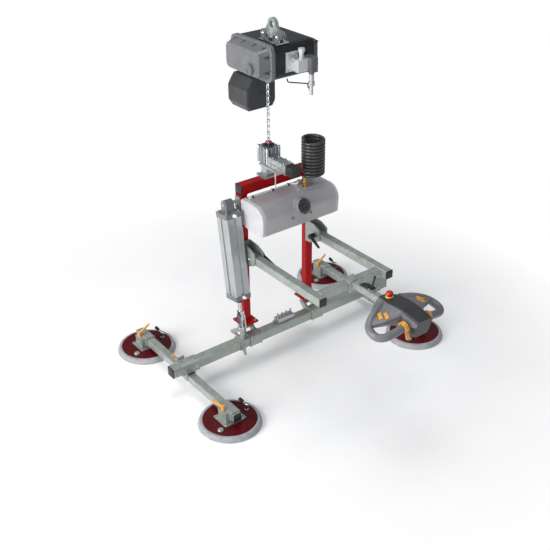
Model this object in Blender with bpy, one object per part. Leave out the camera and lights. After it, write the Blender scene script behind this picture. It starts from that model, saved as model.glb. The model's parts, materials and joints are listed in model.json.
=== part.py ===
"""Vacuum glass lifter: a chain hoist carries a swivel and a red yoke, and the yoke carries
a tilting suction frame with four pads, a tilt cylinder, a vacuum unit and a control handle.

Metres, +Z up. The origin is the centre of the suspension eye. X runs along the main beam,
-Y points to the operator. Heights are measured up from the face of the suction pads.
"""

import math

import bmesh
import bpy
from mathutils import Matrix, Vector

GAP = 0.0003
SLIDE_GAP = 0.0006

# Overall heights above the pad face
HOIST_BOTTOM = 1.425
HOIST_HEIGHT = 0.155
EYE_RISE = 0.075
EYE_HEIGHT = HOIST_BOTTOM + HOIST_HEIGHT + EYE_RISE
BEAM_BOTTOM = 0.100

# Square tubes
TUBE_WALL = 0.003
TUBE_CORNER = 0.004
MAIN_TUBE = 0.050
T_TUBE = 0.040
POST_TUBE = 0.040
ARM_TUBE = 0.040
YOKE_TUBE = 0.050

# Plan layout
CHAIN_X = -0.035
YOKE_X = 0.0
POST_SPACING = 0.395
YOKE_LENGTH = 0.420
YOKE_TOP = 0.950
BEAM_Y = -0.063
BEAM_LEFT = -0.680
BEAM_RIGHT = 0.690
T_LEFT_X = -0.587
T_RIGHT_X = 0.597
T_MIDDLE_Y = -0.0325
T_LENGTH = 0.880
T_TOP = 0.088
PAD_REACH = 0.380

# Suction pads
PAD_RADIUS = 0.150
DISC_RADIUS = 0.128
DISC_TOP = 0.028
DISC_BOTTOM = 0.003
DISC_EDGE = (0.003, 0.004)
SEAL_TOP = 0.025
SEAL_INNER = 0.108
HOLDER_LENGTH = 0.100
HOLDER_WALL = 0.005
HOLDER_PLATE = 0.006
HOLDER_PLATE_WIDTH = 0.115
LEVER_REACH = 0.066
# Where each pad's valve lever rests: degrees turned from +Y, and the rise of its tip
LEVER_REST = ((-80.0, 0.026), (12.0, 0.006), (-80.0, 0.030), (12.0, 0.006))

# Tilt hinge
HINGE_HEIGHT = 0.168
HINGE_PIN_RADIUS = 0.008
FOOT_SIZE = 0.092
FOOT_THICK = 0.010
BEARING_HALF = 0.019
SLEEVE_LENGTH = 0.068
SLEEVE_WALL = 0.004

# Tilt cylinder
CYLINDER_X = -0.278
CYLINDER_TOP_HEIGHT = 0.870
CYLINDER_SIZE = 0.088
CYLINDER_BORE = 0.035
CAP_START = 0.036
EAR_WIDTH = 0.044
CAP_DEPTH = 0.024
BARREL_LENGTH = 0.395
ROD_RADIUS = 0.010
LEVER_Y = -0.088
LEVER_HEIGHT = 0.228
LEVER_BACK = 0.012
LEVER_THICK = 0.010
MANIFOLD_LEFT = -0.050
MANIFOLD_LENGTH = 0.105
FORK_CHEEK = 0.006
FORK_LENGTH = 0.106
FORK_HEAD = 0.048
FORK_DEPTH = 0.036
PISTON_THICK = 0.020
PISTON_START = 0.260

# Operator frame
ARM_PIVOT_Y = -0.088
ARM_PIVOT_HEIGHT = 0.595
ARM_FRONT_Y = -0.600
ARM_BACK_REACH = 0.030
CROSS_INSET = 0.032
BRACKET_TOP = ARM_PIVOT_HEIGHT + 0.065
BRACKET_BOTTOM = ARM_PIVOT_HEIGHT - 0.055
BRACKET_PLATE = 0.006

# Control handle
MOUNT_HALF = 0.030
MOUNT_PLATE = 0.008
MOUNT_STEM = 0.016
HANDLE_X = 0.010
HANDLE_BACK = -0.760
HANDLE_LENGTH = 0.260
GRIP_SPREAD = 0.188
GRIP_DROP = 0.077
HANDLE_BASE = ARM_PIVOT_HEIGHT - 0.045
HANDLE_CROWN = ARM_PIVOT_HEIGHT + 0.056
HANDLE_NOSE_TOP = ARM_PIVOT_HEIGHT + 0.030
NOSE_LEAN = 0.020
ARCH_START = 0.35
ARCH_SPAN = 2.51
# Share of the length from the back, half width of the crown, half width of the shoulders
# Share of the length from the back, then half width of crown and wing as shares of the spread
HANDLE_STATIONS = (
    (0.00, 0.138, 0.213),
    (0.10, 0.191, 0.436),
    (0.22, 0.223, 0.702),
    (0.33, 0.234, 0.894),
    (0.40, 0.239, 0.936),
    (0.47, 0.239, 0.894),
    (0.57, 0.237, 0.665),
    (0.64, 0.234, 0.426),
    (0.675, 0.231, 0.298),
    (1.00, 0.213, 0.255),
)
# The grip's centre line as shares of its spread, of the handle's length and of its drop
GRIP_PATH = (
    (0.27, 0.19, 0.34),
    (0.56, 0.26, 0.44),
    (0.80, 0.33, 0.62),
    (0.95, 0.415, 0.805),
    (1.00, 0.54, 0.935),
    (0.97, 0.645, 1.00),
    (0.85, 0.72, 0.987),
    (0.65, 0.755, 0.883),
    (0.436, 0.769, 0.753),
    (0.19, 0.769, 0.597),
)
WING_EDGE = 0.016
WING_FALL = 0.28
CROWN_EDGE = 0.003
FOOT_RISE = 0.022
GRIP_RADIUS = 0.018
# Share of the length from the back, share of the way down the wing, spin of the long side
ROCKERS = ((0.42, 0.57, 29.0), (0.50, 0.52, 24.0))
ROCKER_WIDTH = 0.016
ROCKER_LENGTH = 0.038
ROCKER_DEPTH = 0.009
ROCKER_TRAVEL = 0.002
ROCKER_PROUD = 0.004
TRIGGER_SHARE = 0.32
TRIGGER_CLEAR = 0.0009
TRIGGER_THICK = 0.007
TRIGGER_WIDTH = 0.017
TRIGGER_BLADE = 0.042
STOP_SHARE = 0.15
STOP_STEM = 0.0115
STOP_DEPTH = 0.010
STOP_TRAVEL = 0.004

# Vacuum unit
UNIT_X = YOKE_X + 0.008
UNIT_LENGTH = 0.415
UNIT_END = 0.020
UNIT_BACK = -0.0205
UNIT_DEPTH = 0.178
UNIT_BOTTOM = 0.747
UNIT_HEIGHT = 0.142
UNIT_ROUND = 0.066
GAUGE_RADIUS = 0.040
GAUGE_DEPTH = 0.026
GAUGE_TILT = 22.0
GAUGE_X = YOKE_X + 0.008
GAUGE_BOSS = 0.002

# Hose coil
COIL_X = 0.147
COIL_Y = -0.105
COIL_RADIUS = 0.057
COIL_HEIGHT = 0.190
COIL_BASE = 0.940
HOSE_RADIUS = 0.007

# Hoist
HOIST_FRONT = -0.080
HOIST_DEPTH = 0.300
HOIST_RIGHT = 0.212
FLANGE_LEFT = -0.073
FLANGE_RIGHT = -0.055
FLANGE_RIM = 0.006
COVER_LEFT = -0.120

# Chain
LINK_WIRE = 0.0050
LINK_PITCH = 0.0150
LINK_WIDTH = 0.0170
LINK_BITE = 0.0006
LINK_COUNT = 22
CHAIN_FOOT = 1.128

# Swivel
SWIVEL_HALF = 0.038
SWIVEL_BOTTOM = 1.020
SWIVEL_TOP = 1.100
BLOCK_X = -0.045
BLOCK_SIZE = 0.052
BLOCK_FRONT = -0.172
BLOCK_CAP = 0.048
BLOCK_HEIGHT = 1.012

LEFT_POST_X = YOKE_X - POST_SPACING / 2
RIGHT_POST_X = YOKE_X + POST_SPACING / 2
POST_X = {"left": LEFT_POST_X, "right": RIGHT_POST_X}
T_X = {"left": T_LEFT_X, "right": T_RIGHT_X}
SIDES = {"left": -1, "right": 1}
BEAM_TOP = BEAM_BOTTOM + MAIN_TUBE


def up(height):
    """World Z of a height above the pad face."""
    return height - EYE_HEIGHT


def clear_scene():
    for obj in list(bpy.data.objects):
        bpy.data.objects.remove(obj, do_unlink=True)


def paint(name, colour, roughness, metallic):
    """A Principled material with one colour, given as sRGB hex."""
    material = bpy.data.materials.new(name)
    material.use_nodes = True
    shader = material.node_tree.nodes["Principled BSDF"]
    channels = [int(colour[i : i + 2], 16) / 255 for i in (0, 2, 4)]
    linear = [c / 12.92 if c <= 0.04045 else ((c + 0.055) / 1.055) ** 2.4 for c in channels]
    shader.inputs["Base Color"].default_value = (*linear, 1)
    shader.inputs["Roughness"].default_value = roughness
    shader.inputs["Metallic"].default_value = metallic
    material.diffuse_color = (*linear, 1)
    return material


def finishes():
    return {
        "zinc": paint("zinc_plated_steel", "8C948E", 0.45, 0.6),
        "red": paint("red_powder_coat", "B01216", 0.4, 0.0),
        "black": paint("black_plastic", "1B1C1D", 0.5, 0.0),
        "dark": paint("dark_grey_casting", "37383A", 0.5, 0.0),
        "cover": paint("grey_cover", "8F9092", 0.45, 0.0),
        "unit": paint("grey_sheet_housing", "77767A", 0.4, 0.2),
        "light": paint("light_plastic", "E4E5E6", 0.4, 0.0),
        "aluminium": paint("anodised_aluminium", "B9BDC0", 0.35, 0.8),
        "maroon": paint("maroon_disc", "4E0509", 0.5, 0.0),
        "rubber": paint("grey_rubber", "84868A", 0.6, 0.0),
        "chrome": paint("plated_steel", "C9CDCE", 0.25, 1.0),
        "orange": paint("orange_plastic", "E08A2A", 0.4, 0.0),
        "grip": paint("grey_grip", "5C5D60", 0.45, 0.0),
        "stop": paint("red_button", "D01B2A", 0.3, 0.0),
        "brass": paint("brass_fitting", "C2A347", 0.3, 1.0),
        "hose": paint("black_hose", "141415", 0.35, 0.0),
    }


def carrier(name, point, parent=None):
    """An empty on a joint's axis, which carries the pieces that move with it."""
    empty = bpy.data.objects.new(name, None)
    bpy.context.scene.collection.objects.link(empty)
    empty.empty_display_size = 0.05
    empty.parent = parent
    empty.location = Vector(point) - (world_point(parent) if parent else Vector())
    return empty


def world_point(obj):
    point = Vector(obj.location)
    while obj.parent:
        obj = obj.parent
        point += Vector(obj.location)
    return point


def place(name, bm, material, parent, local=False, sharp=35.0):
    """Makes the object from a mesh in world places, or in its carrier's when local is set."""
    bmesh.ops.remove_doubles(bm, verts=bm.verts, dist=1e-6)
    bmesh.ops.recalc_face_normals(bm, faces=bm.faces)
    if not local:
        bmesh.ops.translate(bm, verts=bm.verts, vec=-world_point(parent))
    mesh = bpy.data.meshes.new(name)
    bm.to_mesh(mesh)
    bm.free()
    mesh.shade_smooth()
    mesh.set_sharp_from_angle(angle=math.radians(sharp))
    mesh.materials.append(material)
    obj = bpy.data.objects.new(name, mesh)
    bpy.context.scene.collection.objects.link(obj)
    obj.parent = parent
    return obj


def boolean(obj, other, operation):
    """Adds or cuts another object, which stays as a hidden helper under the same carrier."""
    other.hide_render = True
    other.display_type = "WIRE"
    modifier = obj.modifiers.new(operation.lower(), "BOOLEAN")
    modifier.operation = operation
    modifier.object = other
    modifier.use_self = True


AXIS_TURN = {
    "z": Matrix.Identity(4),
    "x": Matrix.Rotation(math.pi / 2, 4, "Y"),
    "y": Matrix.Rotation(-math.pi / 2, 4, "X"),
}


def box(bm, low, high):
    """A box between two corners."""
    low, high = Vector(low), Vector(high)
    size = high - low
    matrix = Matrix.Translation((low + high) / 2) @ Matrix.Diagonal((*size, 1))
    return bmesh.ops.create_cube(bm, size=1, matrix=matrix)["verts"]


def drum(bm, centre, radius, length, axis="z", sides=20, radius_end=None):
    """A cylinder or cone from a centre, along an axis, centred on it."""
    matrix = Matrix.Translation(centre) @ AXIS_TURN[axis]
    return bmesh.ops.create_cone(
        bm,
        cap_ends=True,
        segments=sides,
        radius1=radius,
        radius2=radius if radius_end is None else radius_end,
        depth=length,
        matrix=matrix,
    )["verts"]


def rounded(width, height, corner, steps=2):
    """Outline points of a rectangle with round corners, anticlockwise."""
    points = []
    for index, (sx, sy) in enumerate(((1, 1), (-1, 1), (-1, -1), (1, -1))):
        centre = Vector((sx * (width / 2 - corner), sy * (height / 2 - corner)))
        for step in range(steps + 1):
            angle = math.pi / 2 * (index + step / steps)
            points.append(centre + corner * Vector((math.cos(angle), math.sin(angle))))
    return points


def circle(radius, sides):
    return [
        Vector((radius * math.cos(a), radius * math.sin(a)))
        for a in (2 * math.pi * i / sides for i in range(sides))
    ]


def loop_of(bm, outline):
    verts = [bm.verts.new((p[0], p[1], 0)) for p in outline]
    return verts, [bm.edges.new((a, b)) for a, b in zip(verts, verts[1:] + verts[:1])]


def extrude_up(bm, faces, length, matrix):
    made = bmesh.ops.extrude_face_region(bm, geom=faces)["geom"]
    top = [item for item in made if isinstance(item, bmesh.types.BMVert)]
    bmesh.ops.translate(bm, verts=top, vec=(0, 0, length))
    verts = {v for face in faces for v in face.verts} | set(top)
    bmesh.ops.transform(bm, matrix=matrix, verts=list(verts))


def prism(bm, outline, length, matrix):
    """An outline in its own XY plane, extruded along its Z and set in place by the matrix."""
    verts, _ = loop_of(bm, outline)
    extrude_up(bm, [bm.faces.new(verts)], length, matrix)


def pipe(bm, outer, inner, length, matrix):
    """A hollow bar: the ring between two outlines with as many points, extruded."""
    edges = loop_of(bm, outer)[1] + loop_of(bm, inner)[1]
    faces = bmesh.ops.bridge_loops(bm, edges=edges)["faces"]
    extrude_up(bm, faces, length, matrix)


def along(axis, start):
    """Sets a prism's plane across a world axis, starting at a point.

    Across X the outline's X is world Y and its Y is world Z. Across Y they are world X
    and world Z, and the prism then grows towards -Y.
    """
    columns = {
        "x": ((0, 1, 0), (0, 0, 1), (1, 0, 0)),
        "y": ((1, 0, 0), (0, 0, 1), (0, -1, 0)),
        "z": ((1, 0, 0), (0, 1, 0), (0, 0, 1)),
    }[axis]
    return Matrix.Translation(start) @ Matrix(columns).transposed().to_4x4()


def square_tube(bm, size, wall, length, axis, start):
    inner = size - 2 * wall
    outer_line = rounded(size, size, TUBE_CORNER)
    inner_line = rounded(inner, inner, max(TUBE_CORNER - wall, 0.0008))
    pipe(bm, outer_line, inner_line, length, along(axis, start))


def lathe(bm, profile, centre, sides, axis="z"):
    """Turns a profile of (radius, height) points about an axis, as the mesh's only piece."""
    verts = [bm.verts.new((radius, 0, height)) for radius, height in profile]
    edges = [bm.edges.new((a, b)) for a, b in zip(verts, verts[1:])]
    if profile[0][0] > 0 or profile[-1][0] > 0:
        edges.append(bm.edges.new((verts[-1], verts[0])))
    bmesh.ops.spin(
        bm,
        geom=verts + edges,
        cent=(0, 0, 0),
        axis=(0, 0, 1),
        angle=2 * math.pi,
        steps=sides,
        use_merge=True,
    )
    bmesh.ops.remove_doubles(bm, verts=bm.verts, dist=1e-6)
    bmesh.ops.transform(bm, matrix=Matrix.Translation(centre) @ AXIS_TURN[axis], verts=bm.verts)


def build_hoist(paints, root):
    """Cast body with a chain passage, bolted gear cover, chain bin and suspension."""
    bottom = up(HOIST_BOTTOM)
    middle_y = HOIST_FRONT + HOIST_DEPTH / 2
    middle_z = bottom + HOIST_HEIGHT / 2
    bm = bmesh.new()
    section = rounded(HOIST_DEPTH, HOIST_HEIGHT, 0.030, 3)
    length = HOIST_RIGHT - FLANGE_RIGHT - GAP
    prism(bm, section, length, along("x", (FLANGE_RIGHT + GAP, middle_y, middle_z)))
    end = [v for v in bm.verts if v.co.x > HOIST_RIGHT - 1e-4]
    shrink = Matrix.Diagonal((1, 0.80, 0.74, 1))
    centre = Matrix.Translation((HOIST_RIGHT, middle_y, middle_z))
    bmesh.ops.bisect_plane(
        bm,
        geom=bm.verts[:] + bm.edges[:] + bm.faces[:],
        plane_co=(HOIST_RIGHT - 0.045, 0, 0),
        plane_no=(1, 0, 0),
    )
    bmesh.ops.transform(bm, matrix=centre @ shrink @ centre.inverted(), verts=end)
    body = place("hoist_body", bm, paints["dark"], root)
    bm = bmesh.new()
    passage = LINK_WIDTH / 2 + 0.0005
    depth = HOIST_HEIGHT - 0.020
    drum(bm, (CHAIN_X, 0, bottom + depth / 2 - 0.005), passage, depth + 0.010, sides=16)
    boolean(body, place("chain_passage_cutter", bm, paints["dark"], root), "DIFFERENCE")

    bm = bmesh.new()
    flange = rounded(HOIST_DEPTH + 2 * FLANGE_RIM, HOIST_HEIGHT + 2 * FLANGE_RIM, 0.032, 2)
    prism(bm, flange, FLANGE_RIGHT - FLANGE_LEFT, along("x", (FLANGE_LEFT, middle_y, middle_z)))
    cover = place("hoist_gear_cover", bm, paints["cover"], root)
    bm = bmesh.new()
    dome = rounded(HOIST_DEPTH - 0.012, HOIST_HEIGHT - 0.012, 0.026, 2)
    dome_length = FLANGE_LEFT - COVER_LEFT + 0.004
    prism(bm, dome, dome_length, along("x", (COVER_LEFT, middle_y, middle_z)))
    face = [v for v in bm.verts if v.co.x < COVER_LEFT + 1e-4]
    centre = Matrix.Translation((COVER_LEFT, middle_y, middle_z))
    shrink = Matrix.Diagonal((1, 0.88, 0.80, 1))
    bmesh.ops.transform(bm, matrix=centre @ shrink @ centre.inverted(), verts=face)
    boolean(cover, place("gear_cover_dome", bm, paints["cover"], root), "UNION")
    bm = bmesh.new()
    drum(bm, (COVER_LEFT - 0.002, HOIST_FRONT + 0.092, middle_z - 0.028), 0.026, 0.016, "x", 24)
    boolean(cover, place("gear_cover_boss", bm, paints["cover"], root), "UNION")
    bm = bmesh.new()
    pockets = [(-0.11, 1), (-0.04, 1), (0.04, 1), (0.11, 1), (-0.08, -1), (0.08, -1)]
    for offset, side in pockets:
        at_z = middle_z + side * (HOIST_HEIGHT / 2 - 0.008)
        drum(bm, (FLANGE_LEFT - 0.030, middle_y + offset, at_z), 0.008, 0.060, "x", 10)
    for offset in (-0.034, 0.034):
        at_y = HOIST_FRONT + 0.010
        drum(bm, (FLANGE_LEFT - 0.030, at_y, middle_z + offset), 0.008, 0.060, "x", 10)
    boolean(cover, place("cover_bolt_pockets", bm, paints["cover"], root), "DIFFERENCE")

    build_chain_bin(paints, root, bottom)
    build_suspension(paints, root, bottom + HOIST_HEIGHT)
    build_controls(paints, root, bottom)


def build_chain_bin(paints, root, bottom):
    """The tapered box under the hoist that takes the slack chain."""
    step = FLANGE_RIGHT + 0.001 - CHAIN_X
    bm = bmesh.new()
    outline = [
        Vector((-0.078, -0.030)),
        Vector((-0.100, -0.055)),
        Vector((-0.100, -0.125)),
        Vector((-0.080, -0.155)),
        Vector((0.050, -0.155)),
        Vector((0.062, -0.138)),
        Vector((0.062, -GAP)),
        Vector((step, -GAP)),
        Vector((step, -FLANGE_RIM - GAP)),
        Vector((-0.060, -FLANGE_RIM - GAP)),
    ]
    front, depth = 0.028, 0.150
    prism(bm, outline, depth, along("y", (CHAIN_X, front + depth, bottom)))
    edges = [e for e in bm.edges if abs(e.verts[0].co.y - e.verts[1].co.y) < 1e-5]
    low = [e for e in edges if max(v.co.z for v in e.verts) < bottom - 0.02]
    bmesh.ops.bevel(
        bm, geom=low, offset=0.012, affect="EDGES", segments=2, profile=0.5, material=-1
    )
    place("chain_bin", bm, paints["dark"], root)


def build_suspension(paints, root, roof):
    """Two pairs of ears on the hoist's roof, and the eye plate pinned between them."""
    ear_half, ear_thick, ear_top = 0.022, 0.008, 0.052
    spread, gap_half = 0.038, 0.009
    bm = bmesh.new()
    box(bm, (-0.036, -0.066, roof + GAP), (0.036, 0.066, roof + 0.006))
    base = place("suspension_bracket", bm, paints["chrome"], root)
    bm = bmesh.new()
    arc = [
        Vector((ear_half * math.cos(a), ear_top - ear_half + ear_half * math.sin(a)))
        for a in (math.pi * i / 6 for i in range(7))
    ]
    outline = [Vector((ear_half, 0.003)), *arc, Vector((-ear_half, 0.003))]
    for y in (-spread, spread):
        for x in (-gap_half - ear_thick, gap_half):
            prism(bm, outline, ear_thick, along("x", (x, y, roof)))
    boolean(base, place("suspension_ears", bm, paints["chrome"], root), "UNION")
    bm = bmesh.new()
    for y in (-spread, spread):
        drum(bm, (0, y, roof + ear_top - ear_half), 0.006, 0.044, "x", 12)
    boolean(base, place("suspension_pins", bm, paints["chrome"], root), "UNION")

    bm = bmesh.new()
    half = gap_half - 0.001
    pin_z = roof + ear_top - ear_half
    foot = spread + 0.014
    top = 0.030
    outline = [Vector((foot, pin_z - 0.014)), Vector((foot, pin_z + 0.012))]
    outline += [
        Vector((top * math.cos(a), top * math.sin(a))) for a in (math.pi * i / 8 for i in range(9))
    ]
    outline += [Vector((-foot, pin_z + 0.012)), Vector((-foot, pin_z - 0.014))]
    prism(bm, outline, 2 * half, along("x", (-half, 0, 0)))
    eye = place("suspension_eye", bm, paints["zinc"], root)
    bm = bmesh.new()
    drum(bm, (0, 0, 0), 0.015, 0.05, "x", 20)
    for y in (-spread, spread):
        drum(bm, (0, y, pin_z), 0.006 + GAP, 0.05, "x", 12)
    boolean(eye, place("suspension_holes", bm, paints["zinc"], root), "DIFFERENCE")


def build_controls(paints, root, bottom):
    """The pneumatic control block and the air regulator with its outlet, on the hoist's front."""
    front = HOIST_FRONT - GAP
    start = CHAIN_X + 0.040
    bm = bmesh.new()
    box(bm, (start, front - 0.006, bottom + 0.032), (start + 0.065, front, bottom + 0.120))
    valve = place("control_valve", bm, paints["aluminium"], root)
    bm = bmesh.new()
    box(bm, (start + 0.032, front - 0.052, bottom + 0.034), (start + 0.088, front - 0.003, bottom + 0.090))
    boolean(valve, place("control_valve_block", bm, paints["aluminium"], root), "UNION")
    bm = bmesh.new()
    drum(bm, (start + 0.065, front - 0.030, bottom + 0.103), 0.011, 0.040, "z", 12)
    drum(bm, (start + 0.065, front - 0.030, bottom + 0.128), 0.015, 0.016, "z", 12)
    boolean(valve, place("control_valve_knob", bm, paints["aluminium"], root), "UNION")

    bm = bmesh.new()
    left = start + 0.088 + GAP
    box(bm, (left, front - 0.068, bottom + 0.026), (left + 0.046, front, bottom + 0.092))
    edges = [e for e in bm.edges if abs(e.verts[0].co.z - e.verts[1].co.z) > 0.05]
    bmesh.ops.bevel(
        bm, geom=edges, offset=0.010, affect="EDGES", segments=2, profile=0.5, material=-1
    )
    regulator = place("air_regulator", bm, paints["cover"], root)
    bm = bmesh.new()
    drum(bm, (left + 0.023, front - 0.045, bottom - 0.002), 0.012, 0.070, "z", 12)
    drum(bm, (left + 0.023, front - 0.045, bottom - 0.055), 0.008, 0.052, "z", 12)
    drum(bm, (left + 0.023, front - 0.045, bottom - 0.030), 0.015, 0.016, "z", 12)
    boolean(regulator, place("air_outlet", bm, paints["chrome"], root), "UNION")


def link_mesh(bm, centre_z, turned):
    """One chain link: a stadium of round wire, flat in XZ or turned to YZ."""
    half = LINK_WIDTH / 2 - LINK_WIRE / 2
    straight = LINK_PITCH / 2 - half + LINK_WIRE / 2 - LINK_BITE
    steps, sides = 5, 6
    path = []
    for index in range(2 * (steps + 1)):
        upper = index <= steps
        angle = math.pi * (index if upper else index - 1) / steps
        z = straight if upper else -straight
        path.append((half * math.cos(angle), z + half * math.sin(angle), angle))
    rings = []
    for x, z, angle in path:
        ring = []
        for i in range(sides):
            turn = 2 * math.pi * (i + 0.5) / sides
            out = LINK_WIRE / 2 * math.cos(turn)
            side = LINK_WIRE / 2 * math.sin(turn)
            px, pz = x + out * math.cos(angle), z + out * math.sin(angle)
            spot = Vector((side, px, pz)) if turned else Vector((px, side, pz))
            ring.append(bm.verts.new(spot + Vector((CHAIN_X, 0, centre_z))))
        rings.append(ring)
    for ring, after in zip(rings, rings[1:] + rings[:1]):
        for i in range(sides):
            j = (i + 1) % sides
            bm.faces.new((ring[i], ring[j], after[j], after[i]))


def build_chain(paints, carried):
    """The load chain with the swivel stud at its foot, its links fused where they bear."""
    first = up(CHAIN_FOOT)
    bm = bmesh.new()
    for index in range(0, LINK_COUNT, 2):
        link_mesh(bm, first + index * LINK_PITCH, False)
    chain = place("load_chain", bm, paints["chrome"], carried)
    bm = bmesh.new()
    for index in range(1, LINK_COUNT, 2):
        link_mesh(bm, first + index * LINK_PITCH, True)
    boolean(chain, place("turned_links", bm, paints["chrome"], carried), "UNION")
    bm = bmesh.new()
    stud_top = first - LINK_PITCH / 2 + 0.002
    stud_bottom = up(SWIVEL_TOP) - 0.030
    height = stud_top - stud_bottom
    drum(bm, (CHAIN_X, 0, stud_bottom + height / 2), 0.0085, height, "z", 16)
    boolean(chain, place("swivel_stud", bm, paints["chrome"], carried), "UNION")


def build_swivel(paints, yoke):
    """Ribbed swivel housing on its foot, and the aluminium arm with its end cap."""
    bm = bmesh.new()
    half, fin, slot = SWIVEL_HALF, 0.007, 0.006
    side = [(-half, half)]
    for centre in (-0.021, 0.0, 0.021):
        side += [
            (centre - slot, half),
            (centre - slot + 0.001, half - fin),
            (centre + slot - 0.001, half - fin),
            (centre + slot, half),
        ]
    outline = []
    for turn in range(4):
        spin = Matrix.Rotation(-math.pi / 2 * turn, 2)
        outline += [spin @ Vector(p) for p in side]
    height = SWIVEL_TOP - SWIVEL_BOTTOM
    prism(bm, outline, height, Matrix.Translation((CHAIN_X, 0, up(SWIVEL_BOTTOM))))
    housing = place("swivel_housing", bm, paints["aluminium"], yoke)
    bm = bmesh.new()
    low, high = up(YOKE_TOP) + GAP, up(SWIVEL_BOTTOM) + 0.003
    box(bm, (CHAIN_X - 0.030, -0.022, low + 0.005), (CHAIN_X + 0.030, 0.022, high))
    shelf = up(BLOCK_HEIGHT) - GAP
    box(bm, (CHAIN_X - 0.036, -0.118, shelf - 0.012), (CHAIN_X + 0.036, 0.030, shelf))
    box(bm, (CHAIN_X - 0.050, -0.034, low), (CHAIN_X + 0.050, 0.034, low + 0.008))
    boolean(housing, place("swivel_foot", bm, paints["aluminium"], yoke), "UNION")
    bm = bmesh.new()
    drum(bm, (CHAIN_X, 0, up(SWIVEL_TOP)), 0.0085 + SLIDE_GAP, 0.062, "z", 16)
    boolean(housing, place("stud_bore", bm, paints["aluminium"], yoke), "DIFFERENCE")

    bm = bmesh.new()
    back = -SWIVEL_HALF - GAP
    low = up(BLOCK_HEIGHT)
    profile = rounded(BLOCK_SIZE, BLOCK_SIZE, 0.004, 1)
    centre_z = low + BLOCK_SIZE / 2
    prism(bm, profile, back - BLOCK_FRONT, along("y", (BLOCK_X, back, centre_z)))
    arm = place("swivel_arm", bm, paints["aluminium"], yoke)
    bm = bmesh.new()
    for side_x in (-1, 1):
        x = BLOCK_X + side_x * BLOCK_SIZE / 2
        box(bm, (x - 0.003, BLOCK_FRONT + 0.02, centre_z - 0.003), (x + 0.003, back + 0.01, centre_z + 0.003))
    boolean(arm, place("arm_grooves", bm, paints["aluminium"], yoke), "DIFFERENCE")
    bm = bmesh.new()
    cap = rounded(BLOCK_SIZE - 0.004, BLOCK_SIZE - 0.004, 0.005, 2)
    prism(bm, cap, BLOCK_CAP, along("y", (BLOCK_X, BLOCK_FRONT - GAP, centre_z)))
    place("swivel_arm_cap", bm, paints["black"], yoke)


def build_yoke(paints, yoke):
    """Top beam, two posts with welded feet, and the bearing blocks under them."""
    centre_z = up(YOKE_TOP) - YOKE_TUBE / 2
    left = YOKE_X - YOKE_LENGTH / 2
    bm = bmesh.new()
    square_tube(bm, YOKE_TUBE, TUBE_WALL, YOKE_LENGTH, "x", (left, 0, centre_z))
    place("top_beam", bm, paints["red"], yoke)
    post_top = up(YOKE_TOP) - YOKE_TUBE - GAP
    foot_top = up(HINGE_HEIGHT) + BEARING_HALF + FOOT_THICK + 0.005
    for side, x in POST_X.items():
        bm = bmesh.new()
        start = (x, 0, foot_top - FOOT_THICK / 2)
        square_tube(bm, POST_TUBE, TUBE_WALL, post_top - start[2], "z", start)
        post = place("post_" + side, bm, paints["red"], yoke)
        bm = bmesh.new()
        half = FOOT_SIZE / 2
        box(bm, (x - half, -half, foot_top - FOOT_THICK), (x + half, half, foot_top))
        boolean(post, place("post_foot_" + side, bm, paints["red"], yoke), "UNION")
        build_bearing(paints, yoke, side, x, foot_top - FOOT_THICK)


def build_bearing(paints, yoke, side, x, foot_bottom):
    """The block bolted under a post's foot, with the hinge pin standing out of both sides."""
    bm = bmesh.new()
    half = BEARING_HALF
    centre = up(HINGE_HEIGHT)
    arc = [
        Vector((half * math.cos(a), half * math.sin(a)))
        for a in (math.pi + math.pi * i / 8 for i in range(9))
    ]
    rise = foot_bottom - GAP - centre
    outline = [Vector((half, rise)), Vector((-half, rise)), *arc]
    prism(bm, outline, 0.036, along("x", (x - 0.018, 0, centre)))
    block = place("hinge_bearing_" + side, bm, paints["zinc"], yoke)
    bm = bmesh.new()
    drum(bm, (x, 0, centre), HINGE_PIN_RADIUS, SLEEVE_LENGTH + 0.006, "x", 16)
    boolean(block, place("hinge_pin_" + side, bm, paints["zinc"], yoke), "UNION")


def build_cylinder_bracket(paints, yoke):
    """A plate on the left post with the pin that the cylinder's top hangs on."""
    face = LEFT_POST_X - POST_TUBE / 2 - GAP
    centre = up(CYLINDER_TOP_HEIGHT)
    bm = bmesh.new()
    box(bm, (face - 0.006, -0.018, centre - 0.040), (face, 0.018, centre + 0.022))
    plate = place("cylinder_bracket", bm, paints["zinc"], yoke)
    bm = bmesh.new()
    length = face - CYLINDER_X + EAR_WIDTH / 2 + 0.004
    drum(bm, (face - length / 2, 0, centre), 0.008, length, "x", 16)
    boolean(plate, place("cylinder_top_pin", bm, paints["zinc"], yoke), "UNION")


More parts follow.
